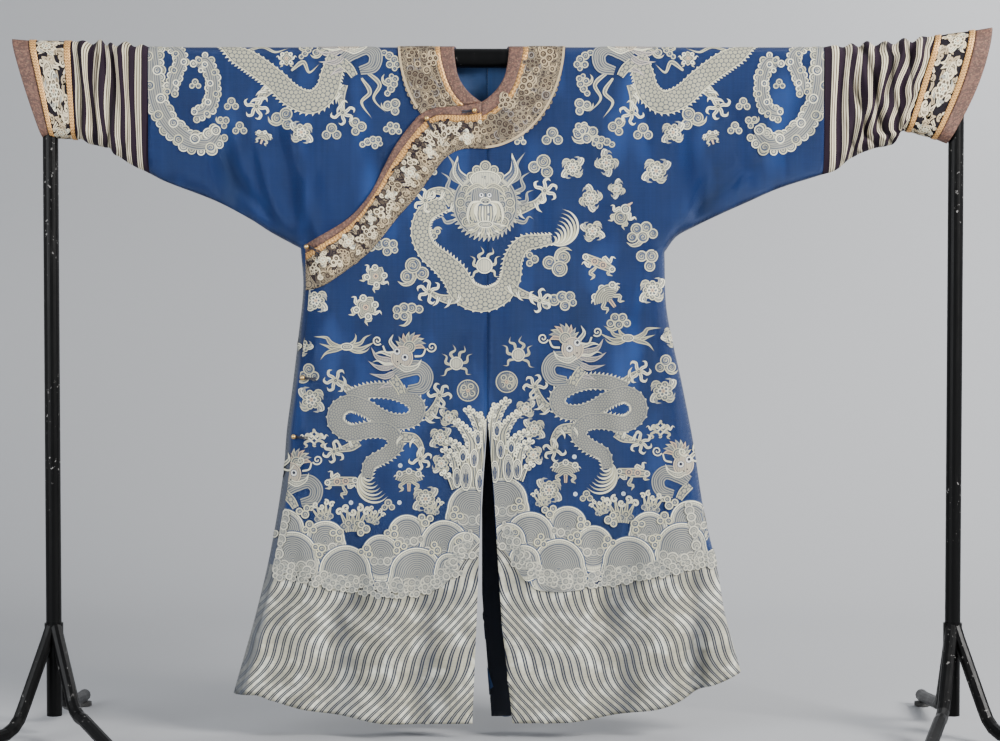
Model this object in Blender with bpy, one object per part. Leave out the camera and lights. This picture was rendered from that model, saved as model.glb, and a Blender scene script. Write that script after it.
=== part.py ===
"""A lined silk dragon robe hanging on a bar between two three-legged stands.

Run with: blender --background --python part.py
Units are metres. X runs along the bar, the robe's front faces -Y, Z is up and the floor is z = 0.

The robe is described in its own cloth coordinates:
  reach  distance from the centre seam, positive towards the wearer's left sleeve (+X)
  drop   distance below the shoulder line
  run    distance along the cloth from the shoulder line, positive down the front, negative down the back
"""

import math

import bmesh
import bpy
import numpy as np
from mathutils import Vector
from mathutils.geometry import delaunay_2d_cdt

# ---------------------------------------------------------------- driving dimensions
CLOTH = 0.002                # wall of the lined silk
TRIM = 0.0012                # wall of a band or braid sewn on the cloth
SEAM = 0.0003                # gap between two pieces at a seam
LIFT = 0.0008                # gap under a layer that lies on another
BAR_RADIUS = 0.020
POST_RADIUS = 0.016
POST_SPACING = 1.878         # between the axes of the two posts
LEG_RADIUS = 0.0135
LEG_REACH = 0.330            # from the post's axis to the middle of a foot
SHOULDER_HEIGHT = 1.432      # the shoulder line above the floor
ROBE_OFFSET = -0.033         # the robe's centre seam hangs a little to one side of the bar's middle
TOP_RADIUS = BAR_RADIUS + LIFT + CLOTH
BAR_HEIGHT = SHOULDER_HEIGHT - TOP_RADIUS
# directions of the legs of the stand at the wearer's left and right, and how high each one bends
LEG_TURNS = {1: ((302, 0.0), (250, 0.035), (90, 0.015)), -1: ((238, 0.0), (302, 0.035), (90, 0.015))}
LEG_SINES = [math.sin(math.radians(turn)) for legs in LEG_TURNS.values() for turn, _ in legs]
BAR_Y = -LEG_REACH * (max(LEG_SINES) + min(LEG_SINES)) / 2     # the origin is midway between the feet
QUARTER = TOP_RADIUS * math.pi / 2

FRONT, BACK = -1, 1
LEFT, RIGHT = 1, -1          # the wearer's sides: left is +X

ARMPIT = {LEFT: (0.368, 0.424), RIGHT: (-0.388, 0.416)}      # reach, drop
SLEEVE_END = {LEFT: 0.695, RIGHT: -0.700}
FOLD_ROUND = 0.050           # how far from a fold the cloth has its full depth
LAP = LIFT + CLOTH           # how far the outer front stands in front of the under front
LAP_FADE = 0.25              # reach at which it no longer does
UNDERLAP_ROWS = 4            # how many rows below the armpit the front hidden under the lap goes on

# side line of the body: drop, reach
SIDE = {
    LEFT: ((0.424, 0.368), (0.544, 0.373), (0.702, 0.406), (0.814, 0.428), (0.971, 0.453),
           (1.085, 0.480), (1.182, 0.497), (1.296, 0.529), (1.380, 0.552)),
    RIGHT: ((0.416, -0.388), (0.497, -0.383), (0.596, -0.393), (0.704, -0.406), (0.793, -0.418),
            (0.886, -0.426), (1.047, -0.453), (1.182, -0.485), (1.319, -0.524), (1.380, -0.541)),
}
# lower edge of the sleeve: reach, drop
UNDERARM = {
    LEFT: ((0.368, 0.424), (0.391, 0.393), (0.428, 0.372), (0.482, 0.346), (0.538, 0.321),
           (0.604, 0.292), (0.695, 0.263)),
    RIGHT: ((-0.700, 0.261), (-0.669, 0.277), (-0.561, 0.319), (-0.491, 0.356), (-0.449, 0.383),
            (-0.388, 0.416)),
}
# hem line: reach, drop
HEM = ((-0.541, 1.325), (-0.524, 1.331), (-0.418, 1.362), (-0.327, 1.381), (-0.238, 1.397),
       (-0.147, 1.403), (-0.031, 1.401), (0.052, 1.401), (0.170, 1.397), (0.259, 1.385),
       (0.350, 1.372), (0.439, 1.335), (0.484, 1.319), (0.529, 1.300), (0.552, 1.290))
# edge of each panel along the centre seam and the slit below it: drop, reach
CENTRE_EDGE = {
    (FRONT, LEFT): ((0.0, 0.0), (0.768, 0.0), (0.913, 0.012), (1.182, 0.029), (1.401, 0.052)),
    (FRONT, RIGHT): ((0.0, 0.0), (0.768, 0.0), (0.913, -0.012), (1.182, -0.022), (1.401, -0.031)),
    (BACK, LEFT): ((0.0, 0.0), (0.768, 0.0), (0.960, -0.012), (1.140, -0.012), (1.401, 0.008)),
    (BACK, RIGHT): ((0.0, 0.0), (0.768, 0.0), (0.960, -0.016), (1.140, -0.030), (1.401, -0.048)),
}
# soft folds: side of the robe, reach at top, reach at bottom, first drop, last drop, height, half width
FOLDS = (
    (FRONT, 0.430, 0.458, 0.95, 1.90, -0.013, 0.020),
    (FRONT, 0.372, 0.398, 0.85, 1.90, 0.009, 0.040),
    (FRONT, 0.262, 0.300, 0.80, 1.90, -0.007, 0.045),
    (FRONT, 0.150, 0.190, 0.80, 1.90, 0.008, 0.050),
    (FRONT, -0.120, -0.150, 0.85, 1.90, -0.006, 0.045),
    (FRONT, -0.190, -0.235, 0.80, 1.90, 0.009, 0.045),
    (FRONT, -0.270, -0.330, 0.80, 1.90, -0.008, 0.040),
    (FRONT, -0.345, -0.425, 0.80, 1.90, 0.008, 0.040),
    (FRONT, -0.430, -0.300, 0.05, 0.62, 0.006, 0.040),
    (FRONT, -0.560, -0.520, 0.05, 0.50, -0.005, 0.028),
    (FRONT, 0.330, 0.260, 0.08, 0.80, 0.006, 0.040),
    (FRONT, 0.470, 0.430, 0.05, 0.60, -0.005, 0.030),
    (FRONT, 0.600, 0.560, 0.05, 0.45, 0.004, 0.030),
    (BACK, 0.330, 0.400, 0.50, 1.90, 0.010, 0.050),
    (BACK, 0.190, 0.220, 0.60, 1.90, -0.008, 0.050),
    (BACK, 0.080, 0.090, 0.70, 1.90, 0.007, 0.050),
    (BACK, -0.110, -0.130, 0.70, 1.90, 0.007, 0.050),
    (BACK, -0.230, -0.270, 0.60, 1.90, -0.008, 0.050),
    (BACK, -0.340, -0.420, 0.50, 1.90, 0.010, 0.050),
    (BACK, 0.450, 0.430, 0.05, 0.60, 0.005, 0.035),
    (BACK, -0.460, -0.440, 0.05, 0.60, 0.005, 0.035),
)
BODY_DEPTH = {FRONT: 0.033, BACK: 0.031}     # half depth of the body below the chest
HEM_DEPTH = 0.007                            # how much further out the hem hangs
SLEEVE_FLATTEN = 0.005                       # how much thinner a sleeve is at its lower edge
BODY_REACH = (0.34, 0.56)                    # where the body's depth fades into the sleeve's

# neck opening in the flat cloth: angle from straight down the front in degrees, distance from its centre
NECK_CENTRE_REACH = -0.012
NECK = ((0, 0.128), (12, 0.113), (28, 0.094), (48, 0.072), (70, 0.060), (95, 0.0545), (120, 0.050),
        (145, 0.038), (180, 0.022))
NECK_BORDER = 0.032          # width of the brocade border round the neck
BRAID = 0.006                # width of a gold braid
COLLAR_ACROSS = 0.172        # the collar's half width
COLLAR_DOWN = 0.224          # how far it runs down the front
COLLAR_BEHIND = 0.150        # how far it runs down the back

# lines of the lap, from below the neck's point to under the arm: reach, drop
LAP_EDGE = ((-0.012, 0.115), (-0.039, 0.121), (-0.077, 0.125), (-0.106, 0.127), (-0.130, 0.136),
            (-0.156, 0.160), (-0.188, 0.203), (-0.213, 0.248), (-0.242, 0.305), (-0.282, 0.351),
            (-0.333, 0.385), (-0.392, 0.418))
BRAID_LINE = ((-0.012, 0.148), (-0.050, 0.152), (-0.085, 0.150), (-0.110, 0.152), (-0.126, 0.165),
              (-0.149, 0.190), (-0.191, 0.248), (-0.238, 0.321), (-0.270, 0.362), (-0.302, 0.391),
              (-0.364, 0.430), (-0.399, 0.444))
BAND_LINE = ((-0.012, 0.211), (-0.054, 0.213), (-0.085, 0.229), (-0.112, 0.262), (-0.131, 0.289),
             (-0.149, 0.313), (-0.189, 0.358), (-0.223, 0.402), (-0.251, 0.431), (-0.302, 0.470),
             (-0.345, 0.496), (-0.406, 0.508))

# closures: reach and drop of the ball, the direction of its loop, height above the lap of what is below
BUTTONS = {
    "neck": (-0.026, 0.133, (-1.0, 0.10), LIFT + TRIM),
    "chest": (-0.126, 0.150, (0.50, 0.87), LIFT + TRIM),
    "underarm": (-0.366, 0.412, (0.87, 0.50), LIFT + TRIM),
    "side_upper": (-0.380, 0.684, (1.0, 0.10), 0.0),
    "side_lower": (-0.397, 0.806, (1.0, 0.10), 0.0),
}
BUTTON_RADIUS = 0.0055
LOOP_LENGTH = 0.030
LOOP_WIDTH = 0.005

# sleeve's gathered part: share of the way to the cuff, drop of its top, drop of its lower edge, depth
GATHER = {
    LEFT: ((0.00, 0.000, 0.263, 0.0234), (0.10, -0.004, 0.258, 0.0290), (0.17, 0.000, 0.252, 0.0238),
           (0.25, -0.008, 0.242, 0.0310), (0.33, -0.001, 0.232, 0.0238), (0.41, -0.013, 0.226, 0.0330),
           (0.48, -0.003, 0.219, 0.0239), (0.56, -0.013, 0.213, 0.0320), (0.63, -0.006, 0.208, 0.0239),
           (0.71, -0.019, 0.206, 0.0340), (0.80, -0.010, 0.203, 0.0239), (0.88, -0.022, 0.198, 0.0330),
           (0.95, -0.0215, 0.176, 0.0250), (1.00, -0.023, 0.172, 0.0250)),
    RIGHT: ((0.00, 0.000, 0.261, 0.0234), (0.10, -0.006, 0.254, 0.0310), (0.20, -0.001, 0.248, 0.0238),
            (0.30, -0.012, 0.238, 0.0330), (0.40, -0.002, 0.226, 0.0239), (0.48, -0.010, 0.221, 0.0310),
            (0.55, -0.003, 0.209, 0.0238), (0.65, -0.016, 0.207, 0.0340), (0.75, -0.006, 0.203, 0.0239),
            (0.85, -0.014, 0.199, 0.0320), (0.94, -0.0118, 0.190, 0.0250), (1.00, -0.012, 0.190, 0.0250)),
}
GATHER_WANDER = 0.006        # how far a gather strays sideways on its way down
# seams of the cuff: reach and drop at the top, reach and drop at the bottom, how far the seam bows out
CUFF_SEAMS = {
    LEFT: ((0.925, -0.023, 0.865, 0.172, 0.000), (1.010, -0.035, 0.930, 0.190, 0.010),
           (1.045, -0.041, 0.952, 0.199, 0.014)),
    RIGHT: ((-0.859, -0.012, -0.849, 0.190, 0.000), (-0.948, -0.014, -0.903, 0.188, 0.000),
            (-0.983, -0.017, -0.919, 0.190, 0.003)),
}
CUFF_DEPTH = 0.025
POST_CLEARANCE = 0.0015      # between a post and the cuff that it comes up into
FACING_WIDTH = 0.062         # dark strip inside the back, along the slit
FACING_TOP = 0.776
FACING_BOTTOM = 1.390

HUB_RADIUS = 0.0195
HUB_HEIGHTS = (0.165, 0.235)
POST_FOOT = 0.040            # the post's lower end
FOOT_RADIUS = 0.017
BAR_END = 0.970
# a leg's middle line: distance from the post's axis, height, share of its raised bend
LEG_LINE = ((0.004, 0.234, 0.0), (0.018, 0.205, 0.2), (0.092, 0.068, 1.0), (0.104, 0.048, 1.0),
            (0.120, 0.033, 1.0), (0.142, 0.0235, 1.0), (0.165, 0.0218, 1.0), (0.300, 0.0218, 0.1),
            (0.338, 0.0218, 0.0))

# ---------------------------------------------------------------- numbers in a table
def smooth(share):
    """0 below 0, 1 above 1, with an even start and end."""
    share = min(max(share, 0.0), 1.0)
    return share * share * (3 - 2 * share)


def curve_at(rows, at, column=1):
    """The value of a column where the first column is at: a smooth curve through the rows."""
    keys = [row[0] for row in rows]
    values = [row[column] for row in rows]
    if at <= keys[0]:
        return values[0]
    if at >= keys[-1]:
        return values[-1]
    i = max(k for k in range(len(keys) - 1) if keys[k] <= at)

    def slope(k):
        before, after = max(k - 1, 0), min(k + 1, len(keys) - 1)
        return (values[after] - values[before]) / (keys[after] - keys[before])

    width = keys[i + 1] - keys[i]
    t = (at - keys[i]) / width
    return ((2 * t**3 - 3 * t**2 + 1) * values[i] + (t**3 - 2 * t**2 + t) * width * slope(i)
            + (3 * t**2 - 2 * t**3) * values[i + 1] + (t**3 - t**2) * width * slope(i + 1))


def line_at(rows, at, column=1):
    """As curve_at, in straight pieces."""
    for low, high in zip(rows, rows[1:]):
        if at <= high[0]:
            t = (at - low[0]) / (high[0] - low[0])
            return low[column] + (high[column] - low[column]) * max(t, 0.0)
    return rows[-1][column]


# ---------------------------------------------------------------- the form of the hanging cloth
def side_of(reach):
    return LEFT if reach >= 0 else RIGHT


def distance_to_fold(reach, drop):
    """How far a point is from the sleeve's lower edge or the body's side, where front and back meet."""
    side = side_of(reach)
    arm_reach, arm_drop = ARMPIT[side]
    past_arm = abs(reach) - abs(arm_reach)
    if past_arm > 0 and drop <= arm_drop:
        return max(curve_at(UNDERARM[side], reach) - drop, 0.0)
    if drop > arm_drop:
        return max(abs(curve_at(SIDE[side], drop)) - abs(reach), 0.0)
    return math.hypot(past_arm, arm_drop - drop)


def folds(reach, drop, face):
    """How far the soft folds push the cloth out."""
    out = 0.0
    for side, top, bottom, first, last, height, width in FOLDS:
        t = (drop - first) / (last - first)
        if side != face or not 0 < t < 1:
            continue
        middle = top + (bottom - top) * t
        strength = smooth(t / 0.4) * smooth((1 - t) / 0.4)
        out += height * strength * math.exp(-(((reach - middle) / width) ** 2))
    return out


def depth_of(reach, drop, face):
    """Half depth of the under layer's outer surface, for a drop below the bar's round."""
    body = 1 - smooth((abs(reach) - BODY_REACH[0]) / (BODY_REACH[1] - BODY_REACH[0]))
    depth = TOP_RADIUS + (BODY_DEPTH[face] - TOP_RADIUS) * body * smooth((drop - TOP_RADIUS) / 0.40)
    depth += HEM_DEPTH * smooth((drop - 0.75) / 0.65)
    depth -= SLEEVE_FLATTEN * (1 - body) * smooth((drop - 0.05) / 0.20)
    depth += folds(reach, drop, face)
    near = min(distance_to_fold(reach, drop) / FOLD_ROUND, 1.0)
    return depth * math.sqrt(1 - (1 - near) ** 2)


def drop_of(run):
    """How far a point of the cloth hangs below the shoulder line."""
    if abs(run) < QUARTER:
        return TOP_RADIUS * (1 - math.cos(run / TOP_RADIUS))
    return abs(run) - QUARTER + TOP_RADIUS


def run_of(drop):
    """Distance along the cloth, for a drop below the bar's round."""
    return drop + QUARTER - TOP_RADIUS


def cloth(reach, run, outer=False, face=None):
    """The outer surface of the cloth. The outer front lies on the under front, a lap in front of it."""
    face = face or (FRONT if run >= 0 else BACK)
    drop = drop_of(run)
    if abs(run) < QUARTER:
        depth = TOP_RADIUS * math.sin(abs(run) / TOP_RADIUS)
    else:
        depth = depth_of(reach, drop, face)
    if outer and face == FRONT:
        depth += LAP * smooth((drop - TOP_RADIUS) / 0.080) * (1 - smooth(reach / LAP_FADE))
    return Vector((ROBE_OFFSET + reach, BAR_Y + face * depth, SHOULDER_HEIGHT - drop))


def lifted(reach, run, lift, outer=False, face=None):
    """A point of the cloth moved out along its normal."""
    here = cloth(reach, run, outer, face)
    if lift == 0:
        return here
    step = 0.002
    across = cloth(reach + step, run, outer) - cloth(reach - step, run, outer)
    down = cloth(reach, run + step, outer) - cloth(reach, run - step, outer)
    return here + down.cross(across).normalized() * lift


# ---------------------------------------------------------------- objects
def material(name, colour, roughness, metallic=0.0):
    made = bpy.data.materials.new(name)
    made.use_nodes = True
    shader = made.node_tree.nodes["Principled BSDF"]
    shader.inputs["Base Color"].default_value = (*colour, 1)
    shader.inputs["Roughness"].default_value = roughness
    shader.inputs["Metallic"].default_value = metallic
    return made


def new_object(name, shape, finish=None):
    """An object from a bmesh. With no finish it is a cutter."""
    mesh = bpy.data.meshes.new(name)
    shape.to_mesh(mesh)
    shape.free()
    made = bpy.data.objects.new(name, mesh)
    bpy.context.scene.collection.objects.link(made)
    if finish is None:
        made.hide_render = True
        made.display_type = "WIRE"
        return made
    mesh.materials.append(finish)
    mesh.shade_smooth()
    mesh.set_sharp_from_angle(angle=math.radians(50))
    return made


def thicken(target, wall, offset):
    """Gives a sheet its wall: offset -1 adds it inwards, 1 outwards."""
    thick = target.modifiers.new("wall", "SOLIDIFY")
    thick.thickness = wall
    thick.offset = offset
    thick.use_even_offset = True
    thick.use_quality_normals = True


def cut(target, cutter):
    away = target.modifiers.new(cutter.name, "BOOLEAN")
    away.operation = "DIFFERENCE"
    away.solver = "EXACT"
    away.object = cutter


def cylinder(name, radius, start, end, finish=None, sides=32):
    """A round bar between two points."""
    start, end = Vector(start), Vector(end)
    turn = (end - start).to_track_quat("Z", "X").to_matrix().to_4x4()
    turn.translation = (start + end) / 2
    shape = bmesh.new()
    bmesh.ops.create_cone(shape, cap_ends=True, segments=sides, radius1=radius, radius2=radius,
                          depth=(end - start).length, matrix=turn)
    return new_object(name, shape, finish)


def shares(count):
    return [k / count for k in range(count + 1)]


# ---------------------------------------------------------------- the grid that all cloth pieces share
FOLD_STEPS = (0.050, 0.030, 0.014, 0.004, 0.0)       # distances of the last lines from a fold
ARC_STEPS = 4                                        # facets from the shoulder line to the bar's side
UPPER_STEPS = 4
SLEEVE_STEPS = 5
BODY_STEPS = 7
LOWER_STEPS = 9
LAP_STEPS = 16


def upper_runs(fold_drop):
    """Runs down one line, from the shoulder to the fold at the sleeve's lower edge."""
    arc = [QUARTER * k / ARC_STEPS for k in range(ARC_STEPS)]
    last = fold_drop - FOLD_STEPS[0]
    middle = [run_of(TOP_RADIUS + (last - TOP_RADIUS) * t) for t in shares(UPPER_STEPS)]
    return arc + middle + [run_of(fold_drop - step) for step in FOLD_STEPS[1:]]


def body_reaches(face, side, drop, gap):
    """Reaches across one line of the body, from the side fold to the centre seam or slit."""
    fold = curve_at(SIDE[side], drop)
    edge = [fold - side * step for step in reversed(FOLD_STEPS)]
    centre = line_at(CENTRE_EDGE[face, side], drop) + side * gap / 2
    return edge[:-1] + [edge[-1] + (centre - edge[-1]) * t for t in shares(BODY_STEPS)]


def arm_patch(face, side):
    """Grid of the sleeve between its seam and the armpit, as columns of (reach, run)."""
    end, arm = SLEEVE_END[side], ARMPIT[side][0]
    columns = []
    for t in shares(SLEEVE_STEPS):
        reach = end + (arm - end) * t
        columns.append([(reach, -face * run) for run in upper_runs(curve_at(UNDERARM[side], reach))])
    return face, columns


def chest_patch(face, side, gap=SEAM):
    runs = upper_runs(ARMPIT[side][1])
    reaches = body_reaches(face, side, ARMPIT[side][1], gap)
    return face, [[(reach, -face * run) for run in runs] for reach in reaches]


def skirt_patch(face, side, gap=SEAM, rows=LOWER_STEPS):
    """Grid of the body below the armpit, down to the hem unless fewer rows are asked for."""
    first = ARMPIT[side][1]
    at_hem = body_reaches(face, side, HEM[0 if side == RIGHT else -1][1], gap)
    columns = []
    for k, hem_reach in enumerate(at_hem):
        last = curve_at(HEM, hem_reach)
        drops = [first + (last - first) * t for t in shares(LOWER_STEPS)][:rows + 1]
        columns.append([(body_reaches(face, side, drop, gap)[k], -face * run_of(drop)) for drop in drops])
    return face, columns


def inside(points, polygon):
    """Which of the points lie inside a polygon."""
    found = np.zeros(len(points), bool)
    x, y = points[:, 0], points[:, 1]
    for (x1, y1), (x2, y2) in zip(polygon, polygon[1:] + polygon[:1]):
        if y1 != y2:
            crosses = (y1 > y) != (y2 > y)
            found ^= crosses & (x < x1 + (y - y1) * (x2 - x1) / (y2 - y1))
    return found


def weights(points, corners):
    """For each point the grid triangle that holds it, its weights there, and whether it is inside."""
    a, b, c = corners[:, 0], corners[:, 1], corners[:, 2]
    ab, ac = b - a, c - a
    area = ab[:, 0] * ac[:, 1] - ab[:, 1] * ac[:, 0]
    off = points[:, None] - a[None]
    second = (off[..., 0] * ac[:, 1] - off[..., 1] * ac[:, 0]) / area
    third = (ab[:, 0] * off[..., 1] - ab[:, 1] * off[..., 0]) / area
    shared = np.stack((1 - second - third, second, third), -1)
    least = shared.min(-1)
    best = least.argmax(1)
    rows = np.arange(len(points))
    return best, shared[rows, best], least[rows, best] > -1e-6


def grid_of(patches, outer, lift):
    """The flat points of the patches, where they are on the cloth, and their triangles."""
    index, flat, solid, triangles = {}, [], [], []
    for face, columns in patches:
        ids = []
        for column in columns:
            line = []
            for reach, run in column:
                key = (round(reach, 6), round(run, 6))
                if key not in index:
                    index[key] = len(flat)
                    flat.append((reach, run))
                    solid.append(lifted(reach, run, lift, outer, face))
                line.append(index[key])
            ids.append(line)
        for one, two in zip(ids, ids[1:]):
            for quad in zip(one, one[1:], two[1:], two):
                triangles += [(quad[0], quad[1], quad[2]), (quad[0], quad[2], quad[3])]
    return np.array(flat), np.array(solid), np.array(triangles)


def place(points, grid):
    """Where flat points are on the cloth."""
    flat, solid, triangles = grid
    best, shared, _ = weights(np.array(points), flat[triangles])
    return (solid[triangles[best]] * shared[..., None]).sum(1)


def piece(name, patches, finish, outer=False, lift=0.0, wall=CLOTH, within=None, without=()):
    """One piece of cloth on the grid of the given patches, cut to outlines in flat (reach, run).
    Its facets lie in the facets of the grid, so that layers on one grid stay parallel."""
    grid = grid_of(patches, outer, lift)
    flat, _, triangles = grid
    edges = {tuple(sorted(pair)) for a, b, c in triangles for pair in ((a, b), (b, c), (c, a))}
    points = [Vector(point) for point in flat]
    edges = list(edges)
    for polygon in ([within] if within else []) + list(without):
        start = len(points)
        points += [Vector(point) for point in polygon]
        edges += [(start + k, start + (k + 1) % len(polygon)) for k in range(len(polygon))]
    found = delaunay_2d_cdt(points, edges, [], 0, 1e-5)
    places, faces = np.array(found[0]), np.array(found[2])
    middles = places[faces].mean(1)
    kept = weights(middles, flat[triangles])[2]
    if within:
        kept &= inside(middles, within)
    for polygon in without:
        kept &= ~inside(middles, polygon)
    faces = faces[kept]
    placed = place(places, grid)
    shape = bmesh.new()
    verts = {k: shape.verts.new(placed[k]) for k in sorted(set(faces.ravel().tolist()))}
    for a, b, c in faces.tolist():
        (ax, ay), (bx, by), (cx, cy) = places[a], places[b], places[c]
        if (bx - ax) * (cy - ay) - (by - ay) * (cx - ax) > 0:
            b, c = c, b
        shape.faces.new((verts[a], verts[b], verts[c]))
    bmesh.ops.remove_doubles(shape, verts=shape.verts, dist=2e-5)
    bmesh.ops.dissolve_degenerate(shape, edges=shape.edges, dist=2e-5)
    made = new_object(name, shape, finish)
    thicken(made, wall, 1 if lift > 0 else -1)
    return made


# ---------------------------------------------------------------- outlines in the flat cloth
def neck_line(angle, out):
    """A line round the neck opening, a distance out from it. 0 degrees is straight down the front."""
    turn = math.radians(angle)
    distance = curve_at(NECK, abs(angle)) + out
    return NECK_CENTRE_REACH + distance * math.sin(turn), distance * math.cos(turn)


def collar_line(angle):
    """Outer edge of the round collar."""
    turn = math.radians(angle)
    down = COLLAR_DOWN if math.cos(turn) > 0 else COLLAR_BEHIND
    return NECK_CENTRE_REACH + COLLAR_ACROSS * math.sin(turn), down * math.cos(turn)


ANGLES = (0, 12, 26, 42, 58, 75, 92, 112, 135, 158, 180)


def round_neck(side, inner, outer):
    """Half a ring round the neck, on one side of the wearer, between two lines."""
    hold = side * SEAM / 2
    near = [inner(side * angle) for angle in ANGLES]
    far = [outer(side * angle) for angle in ANGLES]
    ring = near + far[::-1]
    return [(reach + (hold if abs(reach - NECK_CENTRE_REACH) < 1e-6 and run > 0 else 0), run)
            for reach, run in ring]


def along(rows, share):
    """The point (reach, run) at a share of the length of a line of (reach, drop)."""
    lengths = [0.0]
    for one, two in zip(rows, rows[1:]):
        lengths.append(lengths[-1] + math.dist(one, two))
    table = [(length, *row) for length, row in zip(lengths, rows)]
    at = lengths[-1] * share
    return curve_at(table, at, 1), run_of(curve_at(table, at, 2))


def strip(first, second, gap=SEAM):
    """The outline between two lines of the lap, each a function of the share of its length."""
    ahead = [first(t) for t in shares(LAP_STEPS)]
    back = [second(t) for t in reversed(shares(LAP_STEPS))]
    ahead[0] = (ahead[0][0] - gap / 2, ahead[0][1])
    back[-1] = (back[-1][0] - gap / 2, back[-1][1])
    return ahead + back


def lap_line(lines, share, out=0.0):
    """A line of the lap at a share between two tables of it, moved down the cloth by out."""
    def point(t):
        (r1, n1), (r2, n2) = along(lines[0], t), along(lines[1], t)
        return r1 + (r2 - r1) * share, n1 + (n2 - n1) * share + out
    return point


def lap_area(margin):
    """All of the flat front below the lap's edge, with the edge moved up by a margin."""
    line = [(reach, run - margin) for reach, run in (along(LAP_EDGE, t) for t in shares(LAP_STEPS))]
    return line + [(-0.8, line[-1][1]), (-0.8, 2.0), (0.1, 2.0), (0.1, line[0][1] + margin),
                   (line[0][0], line[0][1])]


# ---------------------------------------------------------------- sleeve ends and cuffs
def sleeve_point(side, column, around, lift=0.0):
    """A point round a sleeve's end. column: reach and drop at the top, reach and drop at the bottom,
    bow, depth, height of its lower round, share of the way from the flat sleeve to the cuff.
    around: 0 at the top, 1 at the lower edge, positive in front."""
    top_reach, top, low_reach, low, bow, depth, closing, share = column
    t = abs(around)
    crown = TOP_RADIUS - top
    if t <= 0.3:
        turn = t / 0.3 * math.pi / 2
        down, out = crown * (1 - math.cos(turn)), math.sin(turn)
    elif t <= 0.7:
        down, out = crown + (low - top - crown - closing) * (t - 0.3) / 0.4, 1.0
    else:
        turn = (1 - t) / 0.3 * math.pi / 2
        down, out = (low - top) - closing * (1 - math.cos(turn)), math.sin(turn)
    q = down / (low - top)
    depth -= SLEEVE_FLATTEN * (1 - share) * smooth((q - 0.2) / 0.5)
    wave = GATHER_WANDER * math.sin(math.pi * share) * math.sin(6.5 * q + 11 * share)
    reach = top_reach + (low_reach - top_reach) * q + side * bow * math.sin(math.pi * q) + wave
    face = -1 if around > 0 else 1
    drop = top + down
    grow = 1 + lift / depth
    middle = (top + low) / 2
    drop = middle + (drop - middle) * (1 + 2 * lift / (low - top))
    return Vector((ROBE_OFFSET + reach, BAR_Y + face * out * depth * grow, SHOULDER_HEIGHT - drop))


AROUND = (0, 0.075, 0.15, 0.225, 0.3, 0.43, 0.57, 0.7, 0.8, 0.9, 1.0)


def tube(name, side, columns, finish, lift=0.0, wall=CLOTH):
    """A piece that goes all round a sleeve, through the given columns."""
    ring = AROUND + tuple(-t for t in AROUND[-2:0:-1])
    shape = bmesh.new()
    rows = [[shape.verts.new(sleeve_point(side, column, t, lift)) for t in ring] for column in columns]
    for one, two in zip(rows, rows[1:]):
        for k in range(len(ring)):
            j = (k + 1) % len(ring)
            quad = (one[k], one[j], two[j], two[k])
            shape.faces.new(quad if side == LEFT else quad[::-1])
    shape.normal_update()
    made = new_object(name, shape, finish)
    thicken(made, wall, 1 if lift > 0 else -1)
    return made


def gather_columns(side):
    columns = []
    top_end, _, low_end, *_ = CUFF_SEAMS[side][0]
    start = SLEEVE_END[side] + side * SEAM
    for share, top, low, depth in GATHER[side]:
        closing = 0.050 + (CUFF_DEPTH - 0.050) * share
        columns.append((start + (top_end - side * SEAM - start) * share, top,
                        start + (low_end - side * SEAM - start) * share, low, 0.0, depth, closing, share))
    return columns


def cuff_column(side, at):
    """A column of the cuff: at 0 its first seam, at 1 the seam of its border, at 2 its open edge."""
    first = min(int(at), 1)
    one, two = CUFF_SEAMS[side][first], CUFF_SEAMS[side][first + 1]
    mixed = [a + (b - a) * (at - first) for a, b in zip(one, two)]
    return (*mixed, CUFF_DEPTH, CUFF_DEPTH, 1.0)


def seam_share(side, first, width):
    """How much of the way from one cuff seam to the next a width is."""
    return width / abs(CUFF_SEAMS[side][first + 1][0] - CUFF_SEAMS[side][first][0])


# ---------------------------------------------------------------- buttons and their loops
def closure(name, reach, drop, direction, base):
    """A ball and the flat loop that it goes through, on what lies at a height of base above the lap."""
    way = Vector(direction).normalized()
    across = Vector((-way.y, way.x)) * LOOP_WIDTH / 2
    start = Vector((reach, run_of(drop))) - way * BUTTON_RADIUS * 0.6
    end = start + way * LOOP_LENGTH
    outline = [tuple(corner) for corner in (start - across, start + across, end + across, end - across)]
    piece(f"loop_{name}", lap_cloth, NAVY_CORD, outer=True, lift=base + SEAM, wall=TRIM, within=outline)
    seat = grid_of(lap_cloth, True, base + TRIM + 2.5 * SEAM + BUTTON_RADIUS)
    shape = bmesh.new()
    bmesh.ops.create_uvsphere(shape, u_segments=12, v_segments=8, radius=BUTTON_RADIUS)
    bmesh.ops.translate(shape, verts=shape.verts, vec=place([(reach, run_of(drop))], seat)[0])
    new_object(f"button_{name}", shape, GILT)


# ---------------------------------------------------------------- the stands
def swept_tube(name, path, radius, finish, sides=12):
    shape = bmesh.new()
    rings = []
    up = Vector((0, 0, 1))
    for k, point in enumerate(path):
        ahead = path[min(k + 1, len(path) - 1)] - path[max(k - 1, 0)]
        across = ahead.cross(up).normalized()
        other = across.cross(ahead).normalized()
        rings.append([shape.verts.new(point + radius * (math.cos(a) * across + math.sin(a) * other))
                      for a in (2 * math.pi * i / sides for i in range(sides))])
    for one, two in zip(rings, rings[1:]):
        for i in range(sides):
            j = (i + 1) % sides
            shape.faces.new((one[i], one[j], two[j], two[i]))
    shape.faces.new(rings[0][::-1])
    shape.faces.new(rings[-1])
    bmesh.ops.recalc_face_normals(shape, faces=shape.faces)
    return new_object(name, shape, finish)


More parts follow.
